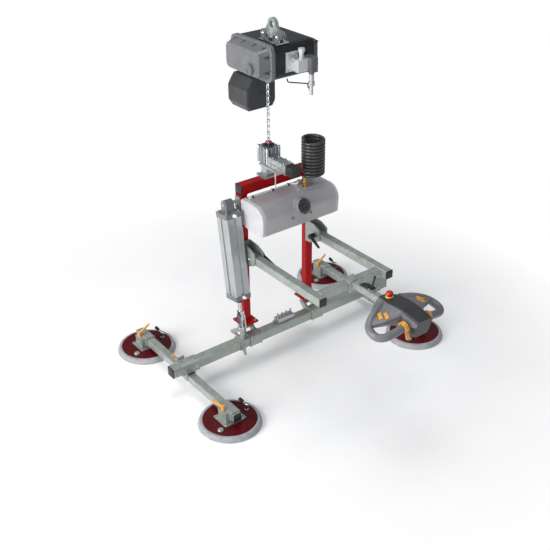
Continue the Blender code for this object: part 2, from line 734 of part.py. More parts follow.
def build_unit(paints, yoke):
    """Vacuum unit: a bent sheet housing between moulded ends, with its gauge."""
    left = UNIT_X - UNIT_LENGTH / 2
    bottom = up(UNIT_BOTTOM)
    outline = unit_outline(0)
    bm = bmesh.new()
    prism(bm, outline, UNIT_LENGTH, along("x", (left, 0, bottom)))
    housing = place("unit_housing", bm, paints["unit"], yoke)
    rim = unit_outline(-0.002)
    starts = {"left": left - UNIT_END - GAP, "right": left + UNIT_LENGTH + GAP}
    for side, start in starts.items():
        bm = bmesh.new()
        prism(bm, rim, UNIT_END, along("x", (start, 0, bottom)))
        face_x = start if side == "left" else start + UNIT_END
        bmesh.ops.recalc_face_normals(bm, faces=bm.faces)
        edges = [e for e in bm.edges if all(abs(v.co.x - face_x) < 1e-5 for v in e.verts)]
        bmesh.ops.bevel(
            bm, geom=edges, offset=0.006, affect="EDGES", segments=2, profile=0.5, material=-1
        )
        outer = [f for f in bm.faces if all(abs(v.co.x - face_x) < 1e-5 for v in f.verts)]
        bmesh.ops.inset_region(bm, faces=outer, thickness=0.012, use_even_offset=True)
        inward = 0.003 if side == "left" else -0.003
        made = [f for f in bm.faces if all(abs(v.co.x - face_x) < 1e-5 for v in f.verts)]
        panel = max(made, key=lambda f: f.calc_area())
        bmesh.ops.translate(bm, verts=panel.verts, vec=(inward, 0, 0))
        place("unit_end_" + side, bm, paints["light"], yoke)

    tilt = math.radians(GAUGE_TILT)
    round_y = UNIT_BACK - UNIT_DEPTH + UNIT_ROUND
    round_z = bottom + UNIT_HEIGHT - UNIT_ROUND
    out = Vector((0, -math.cos(tilt), math.sin(tilt)))
    axis_point = Vector((GAUGE_X, round_y, round_z))
    seat = axis_point + out * (UNIT_ROUND + GAUGE_BOSS + GAP)
    facing = Matrix.Rotation(math.pi / 2 - tilt, 4, "X")
    turn = Matrix.Translation(seat) @ facing
    bm = bmesh.new()
    root_depth = 0.5 * UNIT_ROUND
    boss = Matrix.Translation(axis_point + out * root_depth) @ facing
    prism(bm, circle(GAUGE_RADIUS + 0.004, 32), UNIT_ROUND + GAUGE_BOSS - root_depth, boss)
    boolean(housing, place("gauge_boss", bm, paints["unit"], yoke), "UNION")
    bm = bmesh.new()
    depth = GAUGE_DEPTH
    rim_width = 0.008
    prism(bm, circle(GAUGE_RADIUS, 32), depth, turn)
    front = [f for f in bm.faces if len(f.verts) == 32 and (f.calc_center_median() - seat).length > depth / 2]
    bmesh.ops.recalc_face_normals(bm, faces=bm.faces)
    bmesh.ops.inset_region(bm, faces=front, thickness=rim_width, use_even_offset=True)
    bmesh.ops.translate(bm, verts=front[0].verts, vec=-0.010 * out)
    place("vacuum_gauge", bm, paints["light"], yoke)


def unit_outline(grow):
    """The unit's section as (y, z) points: flat back, round top front, leaning front."""
    back, front = UNIT_BACK, UNIT_BACK - UNIT_DEPTH
    top = UNIT_HEIGHT
    points = [Vector((back - 0.034, -grow)), Vector((back, 0.020)), Vector((back, top - 0.008))]
    points.append(Vector((back - 0.008, top + grow)))
    centre = Vector((front + UNIT_ROUND, top - UNIT_ROUND))
    for step in range(9):
        angle = math.pi / 2 + math.pi / 2 * step / 8
        reach = UNIT_ROUND + grow
        points.append(centre + reach * Vector((math.cos(angle), math.sin(angle))))
    points.append(Vector((front + 0.004 - grow, 0.008)))
    points.append(Vector((front + 0.014, -grow)))
    return points


def build_hose(paints, yoke):
    """The coiled air hose as the solid of its turns, and the fitting that it plugs into."""
    base = up(COIL_BASE)
    wall = 2 * HOSE_RADIUS
    profile = [
        (COIL_RADIUS - wall, 0),
        (COIL_RADIUS, 0),
        (COIL_RADIUS, COIL_HEIGHT),
        (COIL_RADIUS - wall, COIL_HEIGHT),
    ]
    bm = bmesh.new()
    lathe(bm, profile, (COIL_X, COIL_Y, base), 28)
    place("hose_coil", bm, paints["hose"], yoke)
    bm = bmesh.new()
    roof = up(UNIT_BOTTOM) + UNIT_HEIGHT + GAP
    x, y = COIL_X - COIL_RADIUS + HOSE_RADIUS, COIL_Y
    drum(bm, (x, y, roof + 0.010), 0.012, 0.020, "z", 6)
    fitting = place("hose_fitting", bm, paints["brass"], yoke)
    bm = bmesh.new()
    top = base - GAP
    drum(bm, (x, y, (roof + top) / 2), 0.0065, top - roof, "z", 12)
    boolean(fitting, place("fitting_stem", bm, paints["brass"], yoke), "UNION")


def build_arm_brackets(paints, yoke):
    """The forks on the posts that hold the operator frame's arms."""
    top, bottom = BRACKET_TOP, BRACKET_BOTTOM
    face = -POST_TUBE / 2 - GAP
    inner = ARM_TUBE / 2 + SLIDE_GAP
    reach = ARM_PIVOT_Y - 0.040
    side_line = [
        Vector((face, up(bottom))),
        Vector((face, up(top))),
        Vector((face - 0.066, up(top - 0.006))),
        Vector((reach, up(top - 0.024))),
        Vector((reach, up(bottom + 0.036))),
        Vector((face - 0.040, up(bottom + 0.004))),
    ]
    for side, x in POST_X.items():
        bm = bmesh.new()
        width = inner + BRACKET_PLATE
        box(bm, (x - width, face - BRACKET_PLATE, up(bottom)), (x + width, face, up(top)))
        bracket = place("arm_bracket_" + side, bm, paints["zinc"], yoke)
        bm = bmesh.new()
        for start in (x - width, x + inner):
            prism(bm, side_line, BRACKET_PLATE, along("x", (start, 0, 0)))
        boolean(bracket, place("arm_cheeks_" + side, bm, paints["zinc"], yoke), "UNION")


def build_operator_frame(paints, frame):
    """Two arms and the cross tube, welded into a U."""
    centre_z = up(ARM_PIVOT_HEIGHT)
    start_y = ARM_PIVOT_Y + ARM_BACK_REACH
    length = start_y - ARM_FRONT_Y
    bm = bmesh.new()
    for x in POST_X.values():
        square_tube(bm, ARM_TUBE, TUBE_WALL, length, "y", (x, start_y, centre_z))
    arms = place("operator_arms", bm, paints["zinc"], frame)
    bm = bmesh.new()
    cross_y = ARM_FRONT_Y + CROSS_INSET + ARM_TUBE / 2
    half = ARM_TUBE / 2
    reach = half - TUBE_WALL / 2
    span = POST_SPACING - 2 * reach
    square_tube(bm, ARM_TUBE - 0.001, TUBE_WALL, span, "x", (LEFT_POST_X + reach, cross_y, centre_z))
    boolean(arms, place("cross_tube", bm, paints["zinc"], frame), "UNION")
    bm = bmesh.new()
    for x in POST_X.values():
        vent_x = x + math.copysign(half + 0.020, YOKE_X - x)
        drum(bm, (vent_x, cross_y, centre_z - half), 0.004, 2 * TUBE_WALL + 0.002, "z", 10)
    boolean(arms, place("galvanising_vents", bm, paints["zinc"], frame), "DIFFERENCE")
    return cross_y, centre_z


def build_clamp_lever(paints, side, frame):
    """A black adjustable lever on the arm's pivot bolt, on the inner side of its bracket."""
    x = POST_X[side]
    inward = 1 if side == "left" else -1
    hub_x = x + inward * (ARM_TUBE / 2 + SLIDE_GAP + BRACKET_PLATE + GAP)
    point = Vector((hub_x, ARM_PIVOT_Y, up(ARM_PIVOT_HEIGHT)))
    lever = carrier("lever_axis_" + side, point, frame)
    bm = bmesh.new()
    drum(bm, point + Vector((inward * 0.014, 0, 0)), 0.013, 0.028, "x", 14)
    hub = place("clamp_lever_" + side, bm, paints["black"], lever)
    bm = bmesh.new()
    start = point + Vector((inward * 0.020, 0, 0))
    end = start + Vector((inward * 0.012, -0.078, -0.026))
    taper_bar(bm, start, end, 0.010, 0.006, 10)
    boolean(hub, place("clamp_handle_" + side, bm, paints["black"], lever), "UNION")


def taper_bar(bm, start, end, radius, radius_end, sides):
    """A tapered round bar between two points."""
    line = end - start
    turn = line.to_track_quat("Z", "Y").to_matrix().to_4x4()
    matrix = Matrix.Translation((start + end) / 2) @ turn
    bmesh.ops.create_cone(
        bm,
        cap_ends=True,
        segments=sides,
        radius1=radius,
        radius2=radius_end,
        depth=line.length,
        matrix=matrix,
    )


def build_suction_frame(paints, tilt):
    """Main beam with its hinge sleeves, end caps, cylinder lever and vacuum manifold."""
    centre_z = up(BEAM_BOTTOM) + MAIN_TUBE / 2
    bm = bmesh.new()
    start = (BEAM_LEFT, BEAM_Y, centre_z)
    square_tube(bm, MAIN_TUBE, TUBE_WALL, BEAM_RIGHT - BEAM_LEFT, "x", start)
    place("main_beam", bm, paints["zinc"], tilt)
    for side, x in POST_X.items():
        build_hinge_sleeve(paints, tilt, side, x, centre_z)
    build_lever(paints, tilt, centre_z)
    build_manifold(paints, tilt)


def sleeve_outlines(centre_z):
    inner = MAIN_TUBE + 2 * SLIDE_GAP
    outer = inner + 2 * SLEEVE_WALL
    return rounded(outer, outer, TUBE_CORNER + 0.002), rounded(inner, inner, TUBE_CORNER - 0.001)


def build_hinge_sleeve(paints, tilt, side, x, centre_z):
    """A collar on the main beam with two ears that turn on the hinge pin."""
    bm = bmesh.new()
    outer, inner = sleeve_outlines(centre_z)
    start_x = x - SLEEVE_LENGTH / 2
    pipe(bm, outer, inner, SLEEVE_LENGTH, along("x", (start_x, BEAM_Y, centre_z)))
    sleeve = place("hinge_sleeve_" + side, bm, paints["zinc"], tilt)
    bm = bmesh.new()
    hinge_z = up(HINGE_HEIGHT)
    back = BEAM_Y + MAIN_TUBE / 2 + SLIDE_GAP + 0.001
    radius = 0.017
    arc = [
        Vector((radius * math.cos(a), hinge_z + radius * math.sin(a)))
        for a in (math.radians(-60 + 21.5 * i) for i in range(9))
    ]
    low = centre_z - MAIN_TUBE / 2 + 0.006
    outline = [Vector((back, low)), *arc, Vector((back, up(BEAM_TOP) + 0.003))]
    for ear_x in (start_x, x + SLEEVE_LENGTH / 2 - 0.012):
        prism(bm, outline, 0.012, along("x", (ear_x, 0, 0)))
    boolean(sleeve, place("hinge_ears_" + side, bm, paints["zinc"], tilt), "UNION")
    bm = bmesh.new()
    drum(bm, (x, 0, hinge_z), HINGE_PIN_RADIUS + GAP, 0.2, "x", 16)
    boolean(sleeve, place("hinge_bore_" + side, bm, paints["zinc"], tilt), "DIFFERENCE")


def build_lever(paints, tilt, centre_z):
    """The lever that the cylinder pushes: a collar round the beam with an upright plate."""
    bm = bmesh.new()
    outer, inner = sleeve_outlines(centre_z)
    width = 0.030
    pipe(bm, outer, inner, width, along("x", (CYLINDER_X - width / 2, BEAM_Y, centre_z)))
    lever = place("tilt_lever", bm, paints["zinc"], tilt)
    bm = bmesh.new()
    top = up(LEVER_HEIGHT)
    radius = 0.014
    roof = up(BEAM_TOP) + SLEEVE_WALL / 2
    arc = [
        Vector((LEVER_Y + radius * math.cos(a), top + radius * math.sin(a)))
        for a in (math.pi * i / 6 for i in range(7))
    ]
    toe = [Vector((LEVER_BACK, roof)), Vector((LEVER_BACK, roof + radius))]
    outline = [*toe, *arc, Vector((BEAM_Y - MAIN_TUBE / 2 - 0.002, roof))]
    prism(bm, outline, LEVER_THICK, along("x", (CYLINDER_X - LEVER_THICK / 2, 0, 0)))
    boolean(lever, place("lever_plate", bm, paints["zinc"], tilt), "UNION")
    bm = bmesh.new()
    window = [
        Vector((LEVER_BACK - 0.034, roof + 0.012)),
        Vector((LEVER_Y + 0.016, top - 0.030)),
        Vector((LEVER_Y + 0.016, roof + 0.012)),
    ]
    prism(bm, window, 3 * LEVER_THICK, along("x", (CYLINDER_X - 1.5 * LEVER_THICK, 0, 0)))
    boolean(lever, place("lever_window", bm, paints["zinc"], tilt), "DIFFERENCE")
    bm = bmesh.new()
    front = BEAM_Y - MAIN_TUBE / 2 - SLIDE_GAP - 0.001
    hook = [
        Vector((front, up(BEAM_TOP) - 0.004)),
        Vector((front, up(BEAM_BOTTOM) - 0.004)),
        Vector((front - 0.012, up(BEAM_BOTTOM) - 0.026)),
        Vector((front - 0.022, up(BEAM_BOTTOM) - 0.022)),
        Vector((front - 0.012, up(BEAM_BOTTOM) + 0.020)),
    ]
    prism(bm, hook, LEVER_THICK, along("x", (CYLINDER_X - LEVER_THICK / 2, 0, 0)))
    boolean(lever, place("lever_hook", bm, paints["zinc"], tilt), "UNION")


def build_manifold(paints, tilt):
    """The vacuum manifold on the beam: a block with a row of hose nipples."""
    bm = bmesh.new()
    floor = up(BEAM_TOP) + GAP
    left, length = MANIFOLD_LEFT, MANIFOLD_LENGTH
    middle = BEAM_Y + 0.004
    box(bm, (left, middle - 0.018, floor), (left + length, middle + 0.018, floor + 0.026))
    block = place("vacuum_manifold", bm, paints["aluminium"], tilt)
    bm = bmesh.new()
    for index in range(4):
        x = left + length * (index + 0.5) / 4
        drum(bm, (x, middle, floor + 0.034), 0.005, 0.024, "z", 8)
    drum(bm, (left - 0.006, middle, floor + 0.015), 0.006, 0.024, "x", 8)
    boolean(block, place("manifold_nipples", bm, paints["aluminium"], tilt), "UNION")


def build_t_bar(paints, side, tilt):
    """A cross bar for two pads, with the collar that slides on the main beam."""
    x = T_X[side]
    centre_z = up(BEAM_BOTTOM) + MAIN_TUBE / 2
    carried = carrier("t_bar_axis_" + side, (x, BEAM_Y, centre_z), tilt)
    bm = bmesh.new()
    start_y = T_MIDDLE_Y + T_LENGTH / 2
    square_tube(bm, T_TUBE, TUBE_WALL, T_LENGTH, "y", (x, start_y, up(T_TOP) - T_TUBE / 2))
    bar = place("t_bar_" + side, bm, paints["zinc"], carried)
    bm = bmesh.new()
    outer, inner = sleeve_outlines(centre_z)
    length = 0.100
    pipe(bm, outer, inner, length, along("x", (x - length / 2, BEAM_Y, centre_z)))
    boolean(bar, place("t_collar_" + side, bm, paints["zinc"], carried), "UNION")
    bm = bmesh.new()
    low = up(T_TOP) - T_TUBE + 0.006
    high = up(BEAM_BOTTOM) - 0.002
    half = MAIN_TUBE / 2 + SLIDE_GAP + SLEEVE_WALL
    for gusset_x in (x - T_TUBE / 2 - 0.005, x + T_TUBE / 2 - 0.001):
        outline = [
            Vector((BEAM_Y - half, high)),
            Vector((BEAM_Y - half + 0.008, low)),
            Vector((BEAM_Y + half - 0.008, low)),
            Vector((BEAM_Y + half, high)),
        ]
        prism(bm, outline, 0.006, along("x", (gusset_x, 0, 0)))
    boolean(bar, place("t_gussets_" + side, bm, paints["zinc"], carried), "UNION")
    return carried


def build_pad(paints, number, side, direction, carried):
    """One suction pad: disc with its holder on the T bar, rubber seal and valve lever."""
    x = T_X[side]
    y = T_MIDDLE_Y + direction * PAD_REACH
    pad = carrier(f"pad_axis_{number}", (x, y, up(T_TOP) - T_TUBE / 2), carried)
    bm = bmesh.new()
    disc = [
        (0, up(DISC_BOTTOM)),
        (DISC_RADIUS - DISC_EDGE[0], up(DISC_BOTTOM)),
        (DISC_RADIUS, up(DISC_BOTTOM) + DISC_EDGE[1]),
        (DISC_RADIUS, up(DISC_TOP) - 0.002),
        (DISC_RADIUS - 0.002, up(DISC_TOP)),
        (0, up(DISC_TOP)),
    ]
    lathe(bm, disc, (x, y, 0), 40)
    body = place(f"pad_disc_{number}", bm, paints["maroon"], pad)
    bm = bmesh.new()
    half = HOLDER_LENGTH / 2
    plate = HOLDER_PLATE_WIDTH / 2
    disc_z = up(DISC_TOP)
    box(bm, (x - plate, y - half, disc_z - 0.001), (x + plate, y + half, disc_z + HOLDER_PLATE))
    inner = T_TUBE + 2 * SLIDE_GAP
    outer = inner + 2 * HOLDER_WALL
    sleeve_bottom = up(T_TOP) - T_TUBE - SLIDE_GAP - HOLDER_WALL
    box(bm, (x - 0.014, y - 0.020, disc_z + 0.003), (x + 0.014, y + 0.020, sleeve_bottom + 0.002))
    boolean(body, place(f"pad_plate_{number}", bm, paints["zinc"], pad), "UNION")
    bm = bmesh.new()
    outline = rounded(outer, outer, TUBE_CORNER + 0.002)
    hole = rounded(inner, inner, TUBE_CORNER - 0.001)
    pipe(bm, outline, hole, HOLDER_LENGTH, along("y", (x, y + half, up(T_TOP) - T_TUBE / 2)))
    boolean(body, place(f"pad_sleeve_{number}", bm, paints["zinc"], pad), "UNION")
    bm = bmesh.new()
    block_left = x - outer / 2 - 0.018
    low = disc_z + HOLDER_PLATE - 0.001
    high = up(T_TOP) + 0.001
    box(bm, (block_left, y - 0.035, low), (x - outer / 2 + 0.002, y + 0.030, high))
    boolean(body, place(f"valve_block_{number}", bm, paints["aluminium"], pad), "UNION")
    build_seal(paints, number, x, y, pad)
    build_valve_lever(paints, number, Vector((block_left, y, high)), pad)


def build_seal(paints, number, x, y, pad):
    """The rubber ring that grips the disc's rim and seals on the glass."""
    outer = PAD_RADIUS
    inner = DISC_RADIUS + GAP
    profile = [
        (SEAL_INNER, up(0.0)),
        (outer - 0.003, up(0.0)),
        (outer, up(0.004)),
        (outer - 0.007, up(SEAL_TOP) - 0.004),
        (outer - 0.012, up(SEAL_TOP)),
        (inner, up(SEAL_TOP)),
        (inner, up(DISC_BOTTOM) + DISC_EDGE[1]),
        (inner - DISC_EDGE[0], up(DISC_BOTTOM) - GAP),
        (SEAL_INNER, up(DISC_BOTTOM) - GAP),
    ]
    bm = bmesh.new()
    lathe(bm, profile, (x, y, 0), 40)
    place(f"pad_seal_{number}", bm, paints["rubber"], pad)


def build_valve_lever(paints, number, corner, pad):
    """The orange shut-off lever on the pad's valve block, turning about a vertical axis."""
    point = corner + Vector((0.008, 0, GAP))
    axis = carrier(f"valve_axis_{number}", point, pad)
    bm = bmesh.new()
    drum(bm, point + Vector((0, 0, 0.012)), 0.009, 0.024, "z", 12)
    hub = place(f"pad_valve_lever_{number}", bm, paints["orange"], axis)
    bm = bmesh.new()
    start = point + Vector((0, 0, 0.017))
    rest, rise = LEVER_REST[number - 1]
    aim = math.radians(rest)
    reach = Vector((-math.sin(aim) * LEVER_REACH, math.cos(aim) * LEVER_REACH, rise))
    taper_bar(bm, start, start + reach, 0.0065, 0.0055, 8)
    boolean(hub, place(f"lever_bar_{number}", bm, paints["orange"], axis), "UNION")


def cylinder_lean():
    """The cylinder's length from pin to pin and its lean, from the two pivots."""
    drop = CYLINDER_TOP_HEIGHT - LEVER_HEIGHT
    return math.hypot(LEVER_Y, drop), math.atan2(-LEVER_Y, drop)


def build_cylinder(paints, yoke):
    """The tilt cylinder, built hanging down from its top pin and then leaned forward."""
    top = (CYLINDER_X, 0, up(CYLINDER_TOP_HEIGHT))
    axis = carrier("cylinder_axis", top, yoke)
    length, lean = cylinder_lean()
    axis.rotation_euler = (-lean, 0, 0)
    half = CYLINDER_SIZE / 2
    bm = bmesh.new()
    groove = 0.006
    side = [(-half + 0.006, half), (-groove, half), (-groove, half - 0.005)]
    side += [(groove, half - 0.005), (groove, half), (half - 0.006, half)]
    outline = []
    for turn in range(4):
        spin = Matrix.Rotation(-math.pi / 2 * turn, 2)
        outline += [spin @ Vector(p) for p in side]
    barrel_top = -CAP_START - CAP_DEPTH - GAP
    start = Matrix.Translation((0, 0, barrel_top - BARREL_LENGTH))
    ring = circle(CYLINDER_BORE, len(outline))
    ring = [Vector((-p.x, p.y)) for p in ring]
    offset = len(outline) * 3 // 8
    ring = ring[offset:] + ring[:offset]
    pipe(bm, outline, ring, BARREL_LENGTH, start)
    place("cylinder_barrel", bm, paints["aluminium"], axis, local=True)

    bm = bmesh.new()
    cap = rounded(CYLINDER_SIZE + 0.002, CYLINDER_SIZE + 0.002, 0.008, 2)
    prism(bm, cap, CAP_DEPTH, Matrix.Translation((0, 0, -CAP_START - CAP_DEPTH)))
    top_cap = place("cylinder_top_cap", bm, paints["grip"], axis, local=True)
    bm = bmesh.new()
    arc = [
        Vector((0.022 * math.cos(a), 0.022 * math.sin(a))) for a in (math.pi * i / 8 for i in range(9))
    ]
    ear = [Vector((0.026, -CAP_START - 0.004)), *arc, Vector((-0.026, -CAP_START - 0.004))]
    prism(bm, ear, EAR_WIDTH, along("x", (-EAR_WIDTH / 2, 0, 0)))
    boolean(top_cap, place("cylinder_ear", bm, paints["grip"], axis, local=True), "UNION")
    bm = bmesh.new()
    drum(bm, (0, 0, 0), 0.008 + GAP, 0.1, "x", 16)
    boolean(top_cap, place("ear_bore", bm, paints["grip"], axis, local=True), "DIFFERENCE")

    bm = bmesh.new()
    cap_floor = barrel_top - BARREL_LENGTH - GAP - CAP_DEPTH
    bore = circle(ROD_RADIUS + SLIDE_GAP, len(cap))
    bore = [bore[(i + 1) % len(bore)] for i in range(len(bore))]
    pipe(bm, cap, bore, CAP_DEPTH, Matrix.Translation((0, 0, cap_floor)))
    place("cylinder_bottom_cap", bm, paints["grip"], axis, local=True)
    build_rod(paints, axis, length)


def build_rod(paints, axis, length):
    """Piston and rod in one turned piece, and the fork that straddles the tilt lever."""
    rod = carrier("rod_axis", (0, 0, 0), axis)
    rod.location = (0, 0, 0)
    piston_top = -PISTON_START
    fork_top = -length + FORK_LENGTH - 0.012
    profile = [
        (0, piston_top),
        (CYLINDER_BORE - SLIDE_GAP, piston_top),
        (CYLINDER_BORE - SLIDE_GAP, piston_top - PISTON_THICK),
        (ROD_RADIUS, piston_top - PISTON_THICK),
        (ROD_RADIUS, fork_top - 0.010),
        (0, fork_top - 0.010),
    ]
    bm = bmesh.new()
    lathe(bm, profile, (0, 0, 0), 24)
    piston = place("piston_rod", bm, paints["chrome"], rod, local=True)
    gap_half = LEVER_THICK / 2 + 0.001
    cheek = FORK_CHEEK
    width = gap_half + cheek
    flat = FORK_DEPTH / 2 - 0.004
    bm = bmesh.new()
    box(bm, (-width + 0.001, -flat, fork_top - FORK_HEAD), (width - 0.001, flat, fork_top))
    boolean(piston, place("fork_head", bm, paints["zinc"], rod, local=True), "UNION")
    bm = bmesh.new()
    radius = FORK_DEPTH / 2
    arc = [
        Vector((radius * math.cos(a), -length + radius * math.sin(a)))
        for a in (math.pi + math.pi * i / 8 for i in range(9))
    ]
    outline = [Vector((radius, fork_top - 0.020)), Vector((-radius, fork_top - 0.020)), *arc]
    for start in (-width, gap_half):
        prism(bm, outline, cheek, along("x", (start, 0, 0)))
    boolean(piston, place("fork_cheeks", bm, paints["zinc"], rod, local=True), "UNION")
    bm = bmesh.new()
    for side in (-1, 1):
        drum(bm, (side * (width + 0.002), 0, -length), 0.009, 0.006, "x", 10)
    boolean(piston, place("fork_pin_heads", bm, paints["zinc"], rod, local=True), "UNION")


def build_handle(paints, frame, cross_y, centre_z):
    """Control handle: clamp on the cross tube, moulded body with two grips, and its controls."""
    x = HANDLE_X
    half = ARM_TUBE / 2
    front = cross_y - half
    bm = bmesh.new()
    plate = centre_z - MOUNT_HALF
    box(bm, (x - MOUNT_HALF, front - MOUNT_PLATE, plate), (x + MOUNT_HALF, front - GAP, centre_z + half))
    stem, low = (x + MOUNT_STEM, front - GAP - MOUNT_PLATE / 2), centre_z - MOUNT_STEM / 2
    box(bm, (x - MOUNT_STEM, HANDLE_BACK + GAP, low), (*stem, low + 2 * MOUNT_STEM))
    clamp = place("handle_mount", bm, paints["zinc"], frame)
    bm = bmesh.new()
    roof, rise = centre_z + half + GAP, MOUNT_PLATE - GAP
    bend = front - GAP - MOUNT_PLATE / 2
    box(bm, (x - MOUNT_HALF, bend, roof), (x + MOUNT_HALF, cross_y + half, roof + rise))
    box(bm, (x - MOUNT_HALF, front - MOUNT_PLATE, centre_z), (x + MOUNT_HALF, bend, roof + rise))
    boolean(clamp, place("mount_saddle", bm, paints["zinc"], frame), "UNION")
    body = build_handle_body(paints, frame, x)
    build_emergency_stop(paints, frame, body, x)


def handle_top(y):
    """Height of the handle's back along its length: a shallow arch that drops to the nose."""
    share = (HANDLE_BACK - y) / HANDLE_LENGTH
    arch = math.sin(ARCH_SPAN * min(share, 1.0) + ARCH_START)
    return HANDLE_NOSE_TOP + (HANDLE_CROWN - HANDLE_NOSE_TOP) * arch


def handle_section(y, crown, shoulder):
    """The body's section at y as (x, z) points: flat crown, sloping wings, narrow foot."""
    top = up(handle_top(y))
    base = up(HANDLE_BASE)
    lip = top - wing_drop(crown, shoulder)
    foot = 0.85 * crown
    under = min(foot + 2 * CROWN_EDGE, shoulder - CROWN_EDGE)
    inset = crown - 2 * CROWN_EDGE
    right = [
        (foot, base),
        (under, base + FOOT_RISE),
        (shoulder - CROWN_EDGE, lip - WING_EDGE),
        (shoulder, lip),
        (crown, top - CROWN_EDGE),
    ]
    left = [(-px, pz) for px, pz in reversed(right)]
    return right + [(inset, top), (-inset, top)] + left


def wing_drop(crown, shoulder):
    """How far a wing's edge lies below the crown."""
    return 3 * CROWN_EDGE + WING_FALL * (shoulder - crown)


def build_handle_body(paints, frame, x):
    """The moulded body as a loft, with a bow grip on each side fused to it."""
    bm = bmesh.new()
    loops = []
    for share, crown, shoulder in HANDLE_STATIONS:
        y = HANDLE_BACK - share * HANDLE_LENGTH
        section = handle_section(y, crown * GRIP_SPREAD, shoulder * GRIP_SPREAD)
        slant = NOSE_LEAN * share**4 / (HANDLE_CROWN - HANDLE_BASE)
        crest = up(HANDLE_CROWN)
        loops.append([bm.verts.new((x + px, y + slant * (crest - pz), pz)) for px, pz in section])
    edges = [[bm.edges.new((a, b)) for a, b in zip(v, v[1:] + v[:1])] for v in loops]
    for first, second in zip(edges, edges[1:]):
        bmesh.ops.bridge_loops(bm, edges=first + second)
    bm.faces.new(loops[0])
    bm.faces.new(loops[-1])
    body = place("handle_body", bm, paints["grip"], frame)
    for name, side in SIDES.items():
        bm = bmesh.new()
        swept(bm, smooth_line(grip_path(x, side), 3), GRIP_RADIUS, 14)
        boolean(body, place("grip_" + name, bm, paints["grip"], frame), "UNION")
    for name, side in SIDES.items():
        for number, seat in enumerate(ROCKERS, 1):
            build_rocker(paints, frame, body, x, name, side, number, seat)
        build_trigger(paints, frame, x, name, side)
    return body


def grip_path(x, side):
    """Centre line of a grip: out from the wing's back, round the side and into the nose."""
    crest = up(HANDLE_CROWN)
    return [
        Vector((x + side * a * GRIP_SPREAD, HANDLE_BACK - b * HANDLE_LENGTH, crest - c * GRIP_DROP))
        for a, b, c in GRIP_PATH
    ]


def swept(bm, points, radius, sides):
    """A round bar along a line of points, closed at both ends."""
    rings = []
    last = len(points) - 1
    for index, point in enumerate(points):
        line = points[min(index + 1, last)] - points[max(index - 1, 0)]
        across = line.cross(Vector((0, 0, 1))).normalized()
        rise = across.cross(line).normalized()
        ring = []
        for i in range(sides):
            angle = 2 * math.pi * i / sides
            ring.append(bm.verts.new(point + radius * (math.cos(angle) * across + math.sin(angle) * rise)))
        rings.append(ring)
    for ring, after in zip(rings, rings[1:]):
        for i in range(sides):
            j = (i + 1) % sides
            bm.faces.new((ring[i], ring[j], after[j], after[i]))
    bm.faces.new(rings[0])
    bm.faces.new(rings[-1])


def smooth_line(points, steps):
    """Points on a smooth curve through the given ones."""
    out = []
    last = len(points) - 1
    for index in range(last):
        p0 = points[max(index - 1, 0)]
        p1, p2 = points[index], points[index + 1]
        p3 = points[min(index + 2, last)]
        for step in range(steps):
            t = step / steps
            bend = (2 * p0 - 5 * p1 + 4 * p2 - p3) * t * t + (3 * p1 - p0 - 3 * p2 + p3) * t * t * t
            out.append(0.5 * (2 * p1 + (p2 - p0) * t + bend))
    out.append(points[-1])
    return out


def wing_at(y, reach):
    """Half width of crown and shoulder at y, and the point a share of the way down the wing."""
    share = (HANDLE_BACK - y) / HANDLE_LENGTH
    for (s0, c0, w0), (s1, c1, w1) in zip(HANDLE_STATIONS, HANDLE_STATIONS[1:]):
        if s0 <= share <= s1:
            mix = (share - s0) / (s1 - s0)
            crown = GRIP_SPREAD * (c0 + (c1 - c0) * mix)
            shoulder = GRIP_SPREAD * (w0 + (w1 - w0) * mix)
            break
    top = up(handle_top(y))
    fall = wing_drop(crown, shoulder) - CROWN_EDGE
    spot = Vector((crown + (shoulder - crown) * reach, top - CROWN_EDGE - fall * reach))
    return spot, math.atan2(fall, shoulder - crown)


def build_rocker(paints, frame, body, x, name, side, number, seat):
    """An orange push button in a pocket of the wing, moving square to its slope."""
    share, reach, spin = seat
    y = HANDLE_BACK - share * HANDLE_LENGTH
    spot, slope = wing_at(y, reach)
    point = Vector((x + side * spot.x, y, spot.y))
    axis = carrier(f"rocker_axis_{name}_{number}", point, frame)
    lean = Matrix.Rotation(side * slope, 4, "Y")
    turn = Matrix.Translation(point) @ lean @ Matrix.Rotation(math.radians(side * spin), 4, "Z")
    bm = bmesh.new()
    width, length = ROCKER_WIDTH, ROCKER_LENGTH
    cut = rounded(width + 2 * SLIDE_GAP, length + 2 * SLIDE_GAP, 0.0035)
    prism(bm, cut, 0.030, turn @ Matrix.Translation((0, 0, -ROCKER_DEPTH)))
    pocket = place(f"rocker_pocket_{name}_{number}", bm, paints["grip"], frame)
    boolean(body, pocket, "DIFFERENCE")
    bm = bmesh.new()
    start = -ROCKER_DEPTH + ROCKER_TRAVEL + GAP
    key = rounded(width, length, 0.003)
    prism(bm, key, ROCKER_PROUD - start, turn @ Matrix.Translation((0, 0, start)))
    place(f"rocker_button_{name}_{number}", bm, paints["orange"], axis)


